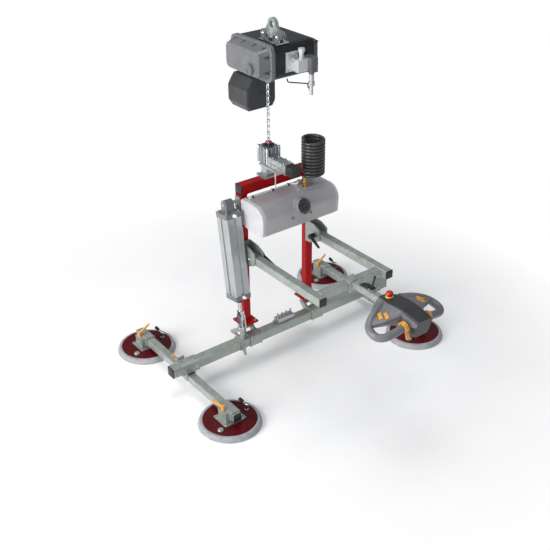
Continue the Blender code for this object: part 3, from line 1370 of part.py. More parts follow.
def build_trigger(paints, frame, x, name, side):
    """The orange finger lever: an open collar round the front end of a grip, and its blade."""
    start, end = grip_path(x, side)[-2:]
    point = start + TRIGGER_SHARE * (end - start)
    lean = math.atan2(end.z - start.z, abs(end.x - start.x))
    axis = carrier("trigger_axis_" + name, point, frame)
    inner, outer = GRIP_RADIUS + TRIGGER_CLEAR, GRIP_RADIUS + TRIGGER_CLEAR + TRIGGER_THICK
    ring = [math.radians(17.5 * i - 10) for i in range(15)]
    front = [outer * Vector((math.cos(a), math.sin(a))) for a in ring]
    back = [inner * Vector((math.cos(a), math.sin(a))) for a in reversed(ring)]
    foot = -GRIP_RADIUS - TRIGGER_BLADE
    outline = front + [Vector((-0.021, foot + 0.004)), Vector((-0.012, foot))] + back
    turn = Matrix.Translation(point) @ Matrix.Rotation(side * lean, 4, "Y")
    bm = bmesh.new()
    prism(bm, outline, TRIGGER_WIDTH, turn @ along("x", (-TRIGGER_WIDTH / 2, 0, 0)))
    place("trigger_" + name, bm, paints["orange"], axis)


def build_emergency_stop(paints, frame, body, x):
    """The red mushroom on a yellow collar, pressed down into the crown."""
    y = HANDLE_BACK - STOP_SHARE * HANDLE_LENGTH
    top = up(handle_top(y))
    stop = carrier("stop_axis", (x, y, top), frame)
    bm = bmesh.new()
    drum(bm, (x, y, top), STOP_STEM + SLIDE_GAP, 2 * STOP_DEPTH, "z", 24)
    boolean(body, place("stop_bore", bm, paints["grip"], frame), "DIFFERENCE")
    bm = bmesh.new()
    profile = [
        (0, top - STOP_DEPTH + STOP_TRAVEL + GAP),
        (STOP_STEM, top - STOP_DEPTH + STOP_TRAVEL + GAP),
        (STOP_STEM, top + 0.010),
        (0.0165, top + 0.014),
        (0.0165, top + 0.020),
        (0.0120, top + 0.026),
        (0, top + 0.028),
    ]
    lathe(bm, profile, (x, y, 0), 24)
    place("emergency_stop", bm, paints["stop"], stop)


def main():
    clear_scene()
    paints = finishes()
    root = carrier("hoist_root", (0, 0, 0))
    build_hoist(paints, root)
    chain = carrier("chain_axis", (CHAIN_X, 0, up(SWIVEL_TOP)), root)
    build_chain(paints, chain)
    yoke = carrier("yoke_axis", (CHAIN_X, 0, up(SWIVEL_TOP)), chain)
    build_swivel(paints, yoke)
    build_yoke(paints, yoke)
    build_cylinder_bracket(paints, yoke)
    build_unit(paints, yoke)
    build_hose(paints, yoke)
    build_arm_brackets(paints, yoke)
    arm_axis = carrier("arm_axis", (YOKE_X, ARM_PIVOT_Y, up(ARM_PIVOT_HEIGHT)), yoke)
    cross_y, centre_z = build_operator_frame(paints, arm_axis)
    build_handle(paints, arm_axis, cross_y, centre_z)
    for side in POST_X:
        build_clamp_lever(paints, side, yoke)
    build_cylinder(paints, yoke)
    tilt = carrier("tilt_axis", (YOKE_X, 0, up(HINGE_HEIGHT)), yoke)
    build_suction_frame(paints, tilt)
    number = 1
    for side in T_X:
        carried = build_t_bar(paints, side, tilt)
        for direction in (1, -1):
            build_pad(paints, number, side, direction, carried)
            number += 1


main()
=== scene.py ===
"""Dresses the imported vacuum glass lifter: finishes, trim that the CAD leaves out, light and camera."""

import json
import math

import bmesh
import bpy
from mathutils import Matrix, Vector


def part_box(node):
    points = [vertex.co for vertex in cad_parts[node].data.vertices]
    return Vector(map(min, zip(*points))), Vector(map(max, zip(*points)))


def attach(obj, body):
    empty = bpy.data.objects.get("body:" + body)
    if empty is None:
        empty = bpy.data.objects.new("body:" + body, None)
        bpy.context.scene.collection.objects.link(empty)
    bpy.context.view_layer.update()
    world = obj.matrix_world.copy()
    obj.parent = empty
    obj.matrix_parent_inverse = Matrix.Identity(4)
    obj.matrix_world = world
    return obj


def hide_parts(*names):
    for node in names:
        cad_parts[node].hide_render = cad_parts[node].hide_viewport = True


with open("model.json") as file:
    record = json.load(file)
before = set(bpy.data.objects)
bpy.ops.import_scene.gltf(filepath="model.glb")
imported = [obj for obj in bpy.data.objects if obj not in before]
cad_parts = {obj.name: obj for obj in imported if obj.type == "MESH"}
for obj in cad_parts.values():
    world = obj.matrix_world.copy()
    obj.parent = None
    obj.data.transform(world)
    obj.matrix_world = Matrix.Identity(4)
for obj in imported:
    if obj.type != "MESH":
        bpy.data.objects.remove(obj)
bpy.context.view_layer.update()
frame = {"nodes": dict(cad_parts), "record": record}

# Places shared with the CAD model, in metres. Z is 0 at the suspension eye, and every height
# below is above the pads' face. A pair is Y and height.
FLOOR_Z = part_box("pad_seal_1")[0][2]
HOIST_MIDDLE = (0.070, 1.5025)
CHAIN_X = -0.035
POST_X = {"left": -0.1975, "right": 0.1975}
BEAM_TUBE = 0.050
BEAM_Y = -0.063
BEAM_HEIGHT = 0.125
BAR_TUBE = 0.040
BAR_HEIGHT = 0.068
PAD_X = {1: -0.587, 2: -0.587, 3: 0.597, 4: 0.597}
PAD_Y = {1: 0.3475, 2: -0.4125, 3: 0.3475, 4: -0.4125}
CYLINDER_X = -0.278
CYLINDER_LEAN = math.radians(7.8)
PIN_PLACE = (-0.088, 0.228)
ARM_PIVOT = (-0.088, 0.595)
CROSS_TUBE_Y = -0.548
HANDLE_X = 0.010
STOP_PLACE = (-0.799, 0.6423)
GAUGE_SEAT = (0.008, -0.1958, 0.8486)
GAUGE_TILT = math.radians(22)

# How far a screw head's underside reaches into the face it sits on
HEAD_SINK = 0.0002

# The spiral hose: X and Y of its axis, where the coil starts and ends, and its winding
COIL_PLACE = (0.147, -0.105)
COIL_HEIGHTS = (0.940, 1.130)
COIL_RADIUS = 0.0496
COIL_TURNS = 11
HOSE_RADIUS = 0.0074


def linear(code):
    """Linear RGBA from an sRGB hex code."""
    parts = [int(code[i : i + 2], 16) / 255 for i in (0, 2, 4)]
    return [c / 12.92 if c <= 0.04045 else ((c + 0.055) / 1.055) ** 2.4 for c in parts] + [1.0]


def add(tree, kind, links=None, **settings):
    """Adds a shader node, sets its sockets and properties, and links other sockets into it."""
    node = tree.nodes.new("ShaderNode" + kind)
    for key, value in settings.items():
        if hasattr(node, key) and key not in node.inputs:
            setattr(node, key, value)
    names = {}
    for socket in node.inputs:
        names.setdefault(socket.name.replace(" ", "_").lower(), socket)
    for key, value in settings.items():
        if key.lower() in names:
            names[key.lower()].default_value = value
    for key, socket in (links or {}).items():
        target = node.inputs[key] if isinstance(key, int) else names[key]
        tree.links.new(socket, target)
    return node


class Finish:
    """A material whose shader is the Principled one, with its pattern helpers."""

    def __init__(self, name, colour, roughness, metallic=0.0, **more):
        self.material = bpy.data.materials.new(name)
        self.material.use_nodes = True
        self.tree = self.material.node_tree
        self.shader = self.tree.nodes["Principled BSDF"]
        base = linear(colour)
        self.shader.inputs["Base Color"].default_value = base
        self.shader.inputs["Roughness"].default_value = roughness
        self.shader.inputs["Metallic"].default_value = metallic
        for key, value in more.items():
            self.shader.inputs[key.replace("_", " ")].default_value = value
        self.place = add(self.tree, "TexCoord").outputs["Object"]
        self.material.diffuse_color = base

    def noise(self, per_metre, detail=3.0, stretch=(1, 1, 1)):
        """Noise with so many features per metre, drawn out along an axis by its stretch."""
        mapping = add(self.tree, "Mapping", {"vector": self.place}, Scale=stretch)
        node = add(self.tree, "TexNoise", {"vector": mapping.outputs[0]}, Scale=per_metre, Detail=detail)
        return node.outputs["Fac"]

    def spread(self, value, low, high, start=0.35, end=0.65):
        """Maps a value's start and end to low and high, and holds it between them."""
        node = add(
            self.tree, "MapRange", {"value": value}, From_Min=start, From_Max=end, To_Min=low, To_Max=high
        )
        return node.outputs[0]

    def axis(self, index, middle=0.0):
        """Distance from a plane across one axis, in metres."""
        value = add(self.tree, "SeparateXYZ", {"vector": self.place}).outputs[index]
        shift = add(self.tree, "Math", {0: value}, operation="SUBTRACT")
        shift.inputs[1].default_value = middle
        return shift.outputs[0]

    def width(self, index, middle):
        """The same distance without its sign."""
        return add(self.tree, "Math", {0: self.axis(index, middle)}, operation="ABSOLUTE").outputs[0]

    def over(self, mask, dark, light, roughness, metallic, pattern):
        """Shows a second surface where the mask is 1."""
        share = self.spread(pattern, 0.0, 1.0)
        shades = add(self.tree, "Mix", {0: share}, data_type="RGBA")
        shades.inputs[6].default_value = linear(dark)
        shades.inputs[7].default_value = linear(light)
        second = {"Base Color": shades.outputs[2], "Roughness": roughness, "Metallic": metallic}
        for name, value in second.items():
            target = self.shader.inputs[name]
            colour = name == "Base Color"
            first, out = (6, 2) if colour else (2, 0)
            mix = add(self.tree, "Mix", {0: mask}, data_type="RGBA" if colour else "FLOAT")
            if target.is_linked:
                self.tree.links.new(target.links[0].from_socket, mix.inputs[first])
            else:
                mix.inputs[first].default_value = target.default_value
            if colour:
                self.tree.links.new(value, mix.inputs[first + 1])
            else:
                mix.inputs[first + 1].default_value = value
            self.tree.links.new(mix.outputs[out], target)
        return self

    def tint(self, value, dark, light, start=0.35, end=0.65):
        """Base colour that runs between two shades as the value does."""
        share = self.spread(value, 0.0, 1.0, start, end)
        mix = add(self.tree, "Mix", {0: share}, data_type="RGBA")
        mix.inputs[6].default_value = linear(dark)
        mix.inputs[7].default_value = linear(light)
        self.tree.links.new(mix.outputs[2], self.shader.inputs["Base Color"])
        return self

    def rough(self, value, low, high):
        """Roughness that follows the value."""
        self.tree.links.new(self.spread(value, low, high), self.shader.inputs["Roughness"])
        return self

    def bump(self, value, height):
        """Relief that follows the value, as deep as the height in metres."""
        node = add(self.tree, "Bump", {"height": value}, Strength=1.0, Distance=height)
        self.tree.links.new(node.outputs[0], self.shader.inputs["Normal"])
        return self


def finishes():
    """Every finish, each from what the real surface shows the eye."""
    made = {}

    # Zinc-plated tube: a satin grey with faint cloudy patches and a soft, wide shine
    zinc = Finish("zinc_plated_steel", "A3AAA4", 0.38, 0.55)
    cloud = zinc.noise(28, 4)
    zinc.tint(cloud, "9CA39D", "ABB2AC").rough(cloud, 0.36, 0.46).bump(zinc.noise(700, 2), 0.00003)
    made["zinc"] = zinc

    # Powder coat: strong red with orange peel and a single soft highlight
    red = Finish("red_powder_coat", "A4060B", 0.36, 0.0, Specular_IOR_Level=0.18)
    red.tint(red.noise(6, 3), "9A0409", "B0080E").bump(red.noise(420, 2), 0.00006)
    made["red"] = red

    # Painted pad disc: very dark red, duller than the yoke, slightly scuffed
    maroon = Finish("maroon_disc_paint", "50040C", 0.38, 0.0, Specular_IOR_Level=0.2)
    scuff = maroon.noise(35, 5)
    maroon.tint(scuff, "48030A", "560710").rough(scuff, 0.32, 0.44).bump(maroon.noise(500, 2), 0.00004)
    # The zinc-plated holder is part of the same solid, from the disc's top upward
    holder = maroon.spread(maroon.axis(2, FLOOR_Z), 0.0, 1.0, 0.0282, 0.0286)
    maroon.over(holder, "9CA39D", "ABB2AC", 0.38, 0.55, maroon.noise(28, 4))
    made["maroon"] = maroon

    # Pad rubber: mid grey, dull, with a faint bloom
    rubber = Finish("grey_pad_rubber", "9A9BA0", 0.55)
    bloom = rubber.noise(40, 4)
    rubber.tint(bloom, "929397", "A3A4A8").rough(bloom, 0.55, 0.72).bump(rubber.noise(900, 2), 0.00003)
    made["rubber"] = rubber

    # Cast hoist body: near-black paint over cast grain
    dark = Finish("dark_cast_paint", "202122", 0.38, 0.0, Specular_IOR_Level=0.35)
    dark.tint(dark.noise(14, 3), "1C1D1E", "262728").bump(dark.noise(650, 3), 0.00009)
    # The housing's joint shows as a thin dark line two thirds along
    joint = dark.spread(dark.width(0, 0.121), 1.0, 0.0, 0.0007, 0.0011)
    dark.over(joint, "141415", "1A1A1B", 0.7, 0.0, dark.noise(50, 2))
    made["dark"] = dark

    # Chain bin: the same moulding as the covers in a deeper grey
    bin_paint = Finish("bin_moulding", "3A3B3D", 0.38, 0.0, Specular_IOR_Level=0.35)
    bin_paint.tint(bin_paint.noise(12, 3), "363739", "404143").bump(bin_paint.noise(900, 2), 0.00005)
    made["bin"] = bin_paint

    # Gear cover: mid grey paint on a smoother casting
    cover = Finish("grey_cast_paint", "6A6B6E", 0.38)
    cover.tint(cover.noise(12, 3), "656669", "707174").bump(cover.noise(600, 3), 0.00006)
    made["cover"] = cover

    # Vacuum unit's sheet: satin metallic grey paint with fine grain
    unit = Finish("grey_sheet_paint", "ADABAE", 0.30, 0.20, Coat_Weight=0.2, Coat_Roughness=0.15)
    unit.tint(unit.noise(8, 3), "A8A6A9", "B3B1B4").bump(unit.noise(900, 2), 0.00003)
    made["unit"] = unit

    # Moulded end frames: off-white plastic with spark-eroded texture
    light = Finish("off_white_plastic", "DEDFE0", 0.42)
    light.tint(light.noise(10, 2), "D6D7D9", "E6E7E8").bump(light.noise(1200, 2), 0.00003)
    made["light"] = light

    # Vacuum unit's end frames: the same moulding in a greyer shade
    shell = Finish("pale_grey_plastic", "BFC0C3", 0.42)
    shell.tint(shell.noise(10, 2), "B9BABD", "C6C7CA").bump(shell.noise(1200, 2), 0.00003)
    made["shell"] = shell

    # Anodised extrusion: pale grey with fine lines along its length
    alu = Finish("anodised_aluminium", "B4B8BA", 0.34, 0.85)
    line = alu.noise(900, 2, (1, 1, 0.02))
    alu.tint(alu.noise(20, 3), "B1B5B7", "BABEC0").rough(line, 0.28, 0.42).bump(line, 0.00002)
    made["aluminium"] = alu

    # Bright plated steel: chain, rod and lugs
    chrome = Finish("plated_steel", "C6CACB", 0.22, 1.0)
    wear = chrome.noise(60, 3)
    chrome.tint(wear, "B6BABB", "D2D6D7").rough(wear, 0.16, 0.30)
    made["chrome"] = chrome

    # Black mouldings
    black = Finish("black_plastic", "1A1B1C", 0.46)
    black.tint(black.noise(15, 2), "161718", "222324").bump(black.noise(1300, 2), 0.00004)
    made["black"] = black

    # Orange levers and buttons: slightly translucent-looking semi-gloss plastic
    orange = Finish("orange_plastic", "E0982F", 0.30, 0.0, Coat_Weight=0.2, Coat_Roughness=0.2)
    orange.tint(orange.noise(25, 2), "D88F28", "E9A63F").bump(orange.noise(900, 2), 0.00003)
    made["orange"] = orange

    # Handle moulding: light grey satin wings either side of a dark crown that widens from the foot
    grip = Finish("grey_moulding", "6E6F72", 0.36)
    grip.tint(grip.noise(12, 3), "696A6D", "757679").bump(grip.noise(1300, 2), 0.00004)
    edge = grip.spread(grip.axis(1, 0.0), 0.0455, 0.0270, -0.835, -0.760)
    inside = add(grip.tree, "Math", {0: edge, 1: grip.width(0, HANDLE_X)}, operation="SUBTRACT").outputs[0]
    crown_share = grip.spread(inside, 0.0, 1.0, -0.0002, 0.0002)
    at_handle = grip.spread(grip.axis(1, 0.0), 1.0, 0.0, -0.7605, -0.7595)
    both = add(grip.tree, "Math", {0: crown_share, 1: at_handle}, operation="MULTIPLY").outputs[0]
    grip.over(both, "29292A", "353536", 0.34, 0.0, grip.noise(12, 3))
    made["grip"] = grip

    # Mushroom button: glossy red moulding over a dull yellow-green ring
    made["stop"] = Finish("red_button", "C81828", 0.25, 0.0, Coat_Weight=0.5, Coat_Roughness=0.08)
    made["stop"].tint(made["stop"].noise(40, 2), "BE1524", "D41E30")
    made["yellow"] = Finish("yellow_collar", "D8D23A", 0.38)
    made["yellow"].tint(made["yellow"].noise(40, 2), "CDC52F", "E2DC4C")

    # Turned brass
    brass = Finish("turned_brass", "C9AC55", 0.26, 1.0)
    turned = brass.noise(900, 2, (0.05, 0.05, 1))
    brass.tint(turned, "B99A45", "D6BC69").rough(turned, 0.2, 0.34)
    made["brass"] = brass

    # Polyurethane spiral hose: black, smooth, with a broad wet-looking shine
    hose = Finish("black_hose", "363637", 0.34, 0.0, Coat_Weight=0.3, Coat_Roughness=0.2)
    hose.tint(hose.noise(30, 2), "313132", "3D3D3E")
    made["hose"] = hose

    # Regulator: cast grey above, bright plated pipe below its body
    regulator = Finish("regulator_finish", "5F6063", 0.38)
    regulator.tint(regulator.noise(12, 3), "5A5B5E", "66676A").bump(regulator.noise(600, 3), 0.00006)
    pipe = regulator.spread(regulator.axis(2, FLOOR_Z), 1.0, 0.0, 1.4395, 1.4405)
    made["regulator"] = regulator.over(pipe, "B6BABB", "D2D6D7", 0.24, 1.0, regulator.noise(60, 3))

    # Valve block: bead-blasted alloy, nearly white, with a soft metal shine
    valve = Finish("blasted_alloy", "D6D8D9", 0.36, 0.5)
    valve.tint(valve.noise(30, 3), "CFD1D2", "DDDFE0").bump(valve.noise(800, 2), 0.00003)
    made["valve"] = valve

    # Gauge case: grey satin moulding
    made["bezel"] = Finish("gauge_case", "828286", 0.34)
    made["bezel"].tint(made["bezel"].noise(20, 2), "7C7C80", "8A8A8E")

    # Gauge face: matt black paper under a clear lens
    made["dial"] = Finish("gauge_face", "2C2D30", 0.6)
    made["dial"].tint(made["dial"].noise(30, 2), "28292C", "323337")
    made["lens"] = Finish("clear_lens", "F4F7F8", 0.03, 0.0, Transmission_Weight=1.0)
    made["lens"].rough(made["lens"].noise(60, 2), 0.02, 0.05)

    # Signal lamps: tinted domes that glow faintly
    for key, low, high in (("green", "1E9A3C", "3BC65C"), ("lamp_red", "B01828", "DA3040")):
        lamp = Finish(key + "_lamp", high, 0.15, 0.0, Emission_Strength=0.25, Coat_Weight=0.6)
        lamp.shader.inputs["Emission Color"].default_value = linear(high)
        made[key] = lamp.tint(lamp.noise(200, 2), low, high)
    return made


PAINTS = finishes()
# Nodes whose finish differs from the plain one of their material slot
OWN_FINISH = {
    "air_regulator": "regulator",
    "vacuum_gauge": "bezel",
    "control_valve": "valve",
    "unit_end_left": "shell",
    "unit_end_right": "shell",
    "chain_bin": "bin",
}
# The record's material slot for each finish of a piece that isn't named after its slot
for part in frame["record"]["subparts"]:
    obj = frame["nodes"][part["node"]]
    obj.data.materials.clear()
    obj.data.materials.append(PAINTS[OWN_FINISH.get(part["node"], part["material_slot"])].material)


def piece(name, bm, paint, body):
    """Makes an object at the origin from a mesh in row-frame places, and lets it ride a body."""
    bmesh.ops.recalc_face_normals(bm, faces=bm.faces)
    mesh = bpy.data.meshes.new(name)
    bm.to_mesh(mesh)
    bm.free()
    mesh.shade_smooth()
    mesh.set_sharp_from_angle(angle=math.radians(35))
    mesh.materials.append(PAINTS[paint].material)
    obj = bpy.data.objects.new(name, mesh)
    bpy.context.scene.collection.objects.link(obj)
    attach(obj, body)
    return obj


def along(direction):
    """Turns +Z to a direction."""
    return Vector(direction).normalized().to_track_quat("Z", "Y").to_matrix().to_4x4()


def turned(bm, profile, centre, direction=(0, 0, 1), sides=24):
    """Turns a profile of (radius, height) points about a direction through the centre."""
    part = bmesh.new()
    verts = [part.verts.new((r, 0, h)) for r, h in profile]
    edges = [part.edges.new((a, b)) for a, b in zip(verts, verts[1:])]
    bmesh.ops.spin(
        part, geom=verts + edges, cent=(0, 0, 0), axis=(0, 0, 1),
        angle=2 * math.pi, steps=sides, use_merge=True,
    )
    bmesh.ops.remove_doubles(part, verts=part.verts, dist=1e-6)
    merge(bm, part, Matrix.Translation(centre) @ along(direction))


def merge(bm, part, matrix):
    """Copies a mesh into another at a place."""
    bmesh.ops.transform(part, matrix=matrix, verts=part.verts)
    mesh = bpy.data.meshes.new("part")
    part.to_mesh(mesh)
    part.free()
    bm.from_mesh(mesh)
    bpy.data.meshes.remove(mesh)


def block(bm, centre, size, bevel=0.001, turn=None):
    """A box with softened edges."""
    part = bmesh.new()
    bmesh.ops.create_cube(part, size=1, matrix=Matrix.Diagonal((*size, 1)))
    if bevel:
        bmesh.ops.bevel(
            part, geom=part.edges[:], offset=bevel, affect="EDGES", segments=2, profile=0.5, material=-1
        )
    merge(bm, part, Matrix.Translation(centre) @ (turn or Matrix.Identity(4)))


def bolt(bm, centre, direction, radius, height=None):
    """A hexagon head on a washer, standing on the point."""
    height = height or radius * 0.7
    washer = radius * 1.25
    turned(bm, [(0, 0), (washer, 0), (washer, radius * 0.15), (0, radius * 0.15)], centre, direction, 20)
    part = bmesh.new()
    bmesh.ops.create_cone(part, cap_ends=True, segments=6, radius1=radius, radius2=radius, depth=height)
    rim = [e for e in part.edges if all(v.co.z > 0 for v in e.verts)]
    bmesh.ops.bevel(
        part, geom=rim, offset=radius * 0.12, affect="EDGES", segments=1, profile=0.5, material=-1
    )
    lift = Matrix.Translation(Vector(centre)) @ along(direction)
    merge(bm, part, lift @ Matrix.Translation((0, 0, height / 2 + radius * 0.15)))


def stage():
    """A pale floor under the pads, soft studio light from the left, and the photo's view."""
    bm = bmesh.new()
    ground = Matrix.Translation((0, 0, FLOOR_Z - 0.001))
    bmesh.ops.create_grid(bm, x_segments=1, y_segments=1, size=40, matrix=ground)
    floor = bpy.data.objects.new("floor", bpy.data.meshes.new("floor"))
    bm.to_mesh(floor.data)
    bm.free()
    paper = Finish("pale_floor", "FCFCFC", 0.75)
    paper.tint(paper.noise(3, 2), "FAFAFA", "FEFEFE")
    flat = add(paper.tree, "Mapping", {"vector": paper.place}, Scale=(1, 1, 0))
    away = add(paper.tree, "VectorMath", {0: flat.outputs[0]}, operation="LENGTH").outputs["Value"]
    fade = paper.spread(away, 0.0, 1.0, 0.8, 1.7)
    seen = add(paper.tree, "LightPath").outputs["Is Camera Ray"]
    share = add(paper.tree, "Math", {0: fade, 1: seen}, operation="MULTIPLY").outputs[0]
    glow = add(paper.tree, "Emission", Color=(1, 1, 1, 1), Strength=1.0)
    blend = add(paper.tree, "MixShader", {0: share, 1: paper.shader.outputs[0], 2: glow.outputs[0]})
    paper.tree.links.new(blend.outputs[0], paper.tree.nodes["Material Output"].inputs[0])
    floor.data.materials.append(paper.material)
    bpy.context.scene.collection.objects.link(floor)

    world = bpy.data.worlds.new("studio")
    world.use_nodes = True
    bpy.context.scene.world = world
    tree = world.node_tree
    path = add(tree, "LightPath")
    shade = add(tree, "Mix", {0: path.outputs["Is Camera Ray"]}, data_type="RGBA")
    shade.inputs[6].default_value = (0.31, 0.32, 0.34, 1)
    shade.inputs[7].default_value = (1, 1, 1, 1)
    background = tree.nodes["Background"]
    tree.links.new(shade.outputs[2], background.inputs[0])

    lamps = {
        "key": ((-4.6, 0.2, 0.8), 2.6, 235, (1.0, 0.99, 0.97)),
        "fill": ((-3.0, -4.2, 0.6), 2.5, 48, (0.96, 0.98, 1.0)),
        "top": ((0.5, 1.0, 4.5), 3.0, 100, (1.0, 1.0, 1.0)),
    }
    aim = Vector((0, 0, FLOOR_Z + 0.7))
    for name, (place, width, power, colour) in lamps.items():
        light = bpy.data.lights.new(name, "AREA")
        light.size = width
        light.energy = power
        light.color = colour
        obj = bpy.data.objects.new(name, light)
        obj.location = place
        obj.rotation_euler = (aim - Vector(place)).to_track_quat("-Z", "Y").to_euler()
        bpy.context.scene.collection.objects.link(obj)

    camera = bpy.data.cameras.new("photo_view")
    camera.sensor_width = 36.0
    camera.lens = 59.24
    camera.clip_end = 100
    view = bpy.data.objects.new("photo_view", camera)
    pitch, turn, roll = math.radians(59.7), math.radians(-36.7), math.radians(-0.8)
    level = Matrix.Rotation(turn, 4, "Z") @ Matrix.Rotation(pitch, 4, "X")
    facing = level @ Matrix.Rotation(roll, 4, "Z")
    view.matrix_world = Matrix.Translation((-2.37, -3.168, FLOOR_Z + 2.7)) @ facing
    bpy.context.scene.collection.objects.link(view)
    bpy.context.scene.camera = view
    bpy.context.scene.view_settings.view_transform = "Standard"


def spot(x, y, height):
    """A point from its height above the pads' face."""
    return Vector((x, y, FLOOR_Z + height))


def tube(bm, points, radius, sides=12, closed=False):
    """Sweeps a round section along points."""
    count = len(points)
    rings = []
    normal = None
    for i, point in enumerate(points):
        ahead = points[(i + 1) % count] if closed else points[min(i + 1, count - 1)]
        behind = points[i - 1] if closed or i else point
        tangent = (Vector(ahead) - Vector(behind)).normalized()
        if normal is None:
            normal = tangent.orthogonal()
        normal = (normal - tangent * normal.dot(tangent)).normalized()
        other = tangent.cross(normal)
        angles = [2 * math.pi * k / sides for k in range(sides)]
        loop = [Vector(point) + (normal * math.cos(a) + other * math.sin(a)) * radius for a in angles]
        rings.append([bm.verts.new(place) for place in loop])
    pairs = list(zip(rings, rings[1:])) + ([(rings[-1], rings[0])] if closed else [])
    for first, second in pairs:
        for k in range(sides):
            n = (k + 1) % sides
            bm.faces.new((first[k], first[n], second[n], second[k]))
    if not closed:
        bm.faces.new(rings[0])
        bm.faces.new(reversed(rings[-1]))


def arc_path(points, radius, steps=5):
    """Rounds the corners of a polyline."""
    points = [Vector(p) for p in points]
    path = [points[0]]
    for before, corner, after in zip(points, points[1:], points[2:]):
        start = corner + (before - corner).normalized() * radius
        end = corner + (after - corner).normalized() * radius
        for k in range(steps + 1):
            t = k / steps
            path.append(start * (1 - t) ** 2 + corner * 2 * t * (1 - t) + end * t**2)
    return path + [points[-1]]


def surface(node, point, way, reach=0.1):
    """Where a ray from outside meets a CAD node, cast against the way it faces."""
    way = Vector(way)
    hit, place, _, _ = frame["nodes"][node].ray_cast(Vector(point) + way * reach, -way)
    if not hit:
        raise ValueError(f"no face of {node} under {tuple(point)}")
    return place


def bolts(name, node, body, points, way, radius, reach=0.1, head=bolt):
    """Bolt heads seated on a CAD node's face."""
    bm = bmesh.new()
    for point in points:
        seat = surface(node, spot(*point), way, reach)
        head(bm, seat - Vector(way) * HEAD_SINK, way, radius)
    piece(name, bm, "chrome", body)


def cap_screw(bm, centre, direction, radius):
    """A socket-head screw with a round recess in its head."""
    shares = ((0, 0), (1, 0), (1, 1.1), (0.88, 1.25), (0.5, 1.25), (0.5, 0.6), (0, 0.6))
    turned(bm, [(radius * a, radius * b) for a, b in shares], centre, direction, 18)


def button_head(bm, centre, direction, radius):
    """A low domed screw head."""
    dome = [(math.cos(a), 0.5 * math.sin(a)) for a in (0, 0.4, 0.8, 1.2)]
    shares = [(0, 0)] + dome + [(0.3, 0.5), (0.3, 0.2), (0, 0.2)]
    turned(bm, [(radius * a, radius * b) for a, b in shares], centre, direction, 18)


def ring(bm, centre, outer, inner, height, direction=(0, 0, 1), sides=40):
    """A flat ring with softened edges."""
    soft = min(height, outer - inner) * 0.2
    profile = [
        (inner, 0), (outer - soft, 0), (outer, soft), (outer, height - soft),
        (outer - soft, height), (inner, height), (inner, 0),
    ]
    turned(bm, profile, centre, direction, sides)


def air_coil():
    """The spiral air hose, wound on one cylinder and standing on its brass fitting."""
    x, y = COIL_PLACE
    low, high = (FLOOR_Z + h for h in COIL_HEIGHTS)
    start, stop = low + HOSE_RADIUS, high - HOSE_RADIUS
    steps = 30
    path = []
    for i in range(COIL_TURNS * steps + 1):
        turn = i / steps
        angle = math.pi + 2 * math.pi * turn
        rise = start + (stop - start) * turn / COIL_TURNS
        dip = HOSE_RADIUS * max(0.0, 1 - turn / 0.12) ** 2
        path.append((x + COIL_RADIUS * math.cos(angle), y + COIL_RADIUS * math.sin(angle), rise - dip))
    bm = bmesh.new()
    tube(bm, path, HOSE_RADIUS, 14)
    hose = piece("air_hose", bm, "hose", "yoke")
    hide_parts("hose_coil")


def square_bead(bm, centre, half, across, up_way):
    """A weld bead around a square tube."""
    a, b = Vector(across) * half, Vector(up_way) * half
    corners = [a + b, b - a, -a - b, a - b]
    path = []
    for first, second in zip(corners, corners[1:] + corners[:1]):
        path += [Vector(centre) + first.lerp(second, 0.04 + 0.92 * k / 9) for k in range(10)]
    tube(bm, path, 0.0026, 8, closed=True)


def welds():
    """Weld beads where tubes meet, and the bright edge straps of the hinge sleeves."""
    bm = bmesh.new()
    for x in POST_X.values():
        square_bead(bm, spot(x, 0, 0.8975), 0.0203, (1, 0, 0), (0, 1, 0))
        square_bead(bm, spot(x, 0, 0.2035), 0.0203, (1, 0, 0), (0, 1, 0))
    piece("post_welds", bm, "red", "yoke")
    bm = bmesh.new()
    for x in POST_X.values():
        for edge in (-0.0325, 0.0325):
            square_bead(bm, spot(x + edge, BEAM_Y, BEAM_HEIGHT), 0.0302, (0, 1, 0), (0, 0, 1))
    piece("sleeve_straps", bm, "aluminium", "suction_frame")
    bm = bmesh.new()
    for x in (-0.1765, 0.1765):
        square_bead(bm, spot(x, CROSS_TUBE_Y, ARM_PIVOT[1]), 0.0196, (0, 1, 0), (0, 0, 1))
    piece("cross_tube_welds", bm, "zinc", "handle_frame")


def tube_caps():
    """Push-in caps in the open tube ends."""
    ends = []
    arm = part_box("operator_arms")
    for side, x in POST_X.items():
        bar = "t_bar_" + side
        low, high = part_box(bar)
        middle = (low[0] + high[0]) / 2
        for word, index, way in (("front", 0, -1), ("back", 1, 1)):
            bar_end = (middle, (low, high)[index][1], FLOOR_Z + BAR_HEIGHT)
            arm_end = spot(x, arm[index][1], ARM_PIVOT[1])
            ends.append((f"t_cap_{word}_{side}", bar_end, (0, way, 0), BAR_TUBE, bar))
            ends.append((f"arm_cap_{word}_{side}", arm_end, (0, way, 0), BAR_TUBE, "handle_frame"))
    for name, body in (("main_beam", "suction_frame"), ("top_beam", "yoke")):
        low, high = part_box(name)
        y, z = (low[1] + high[1]) / 2, (low[2] + high[2]) / 2
        for word, x, way in (("left", low[0], -1), ("right", high[0], 1)):
            ends.append((f"{name}_cap_{word}", (x, y, z), (way, 0, 0), BEAM_TUBE, body))
    for name, place, way, wide, body in ends:
        way = Vector(way)
        thick = Vector([abs(w) for w in way])
        across = Vector((1, 1, 1)) - thick
        bm = bmesh.new()
        block(bm, Vector(place) + way * 0.0027, across * wide + thick * 0.005, 0.0018)
        piece(name, bm, "black", body)


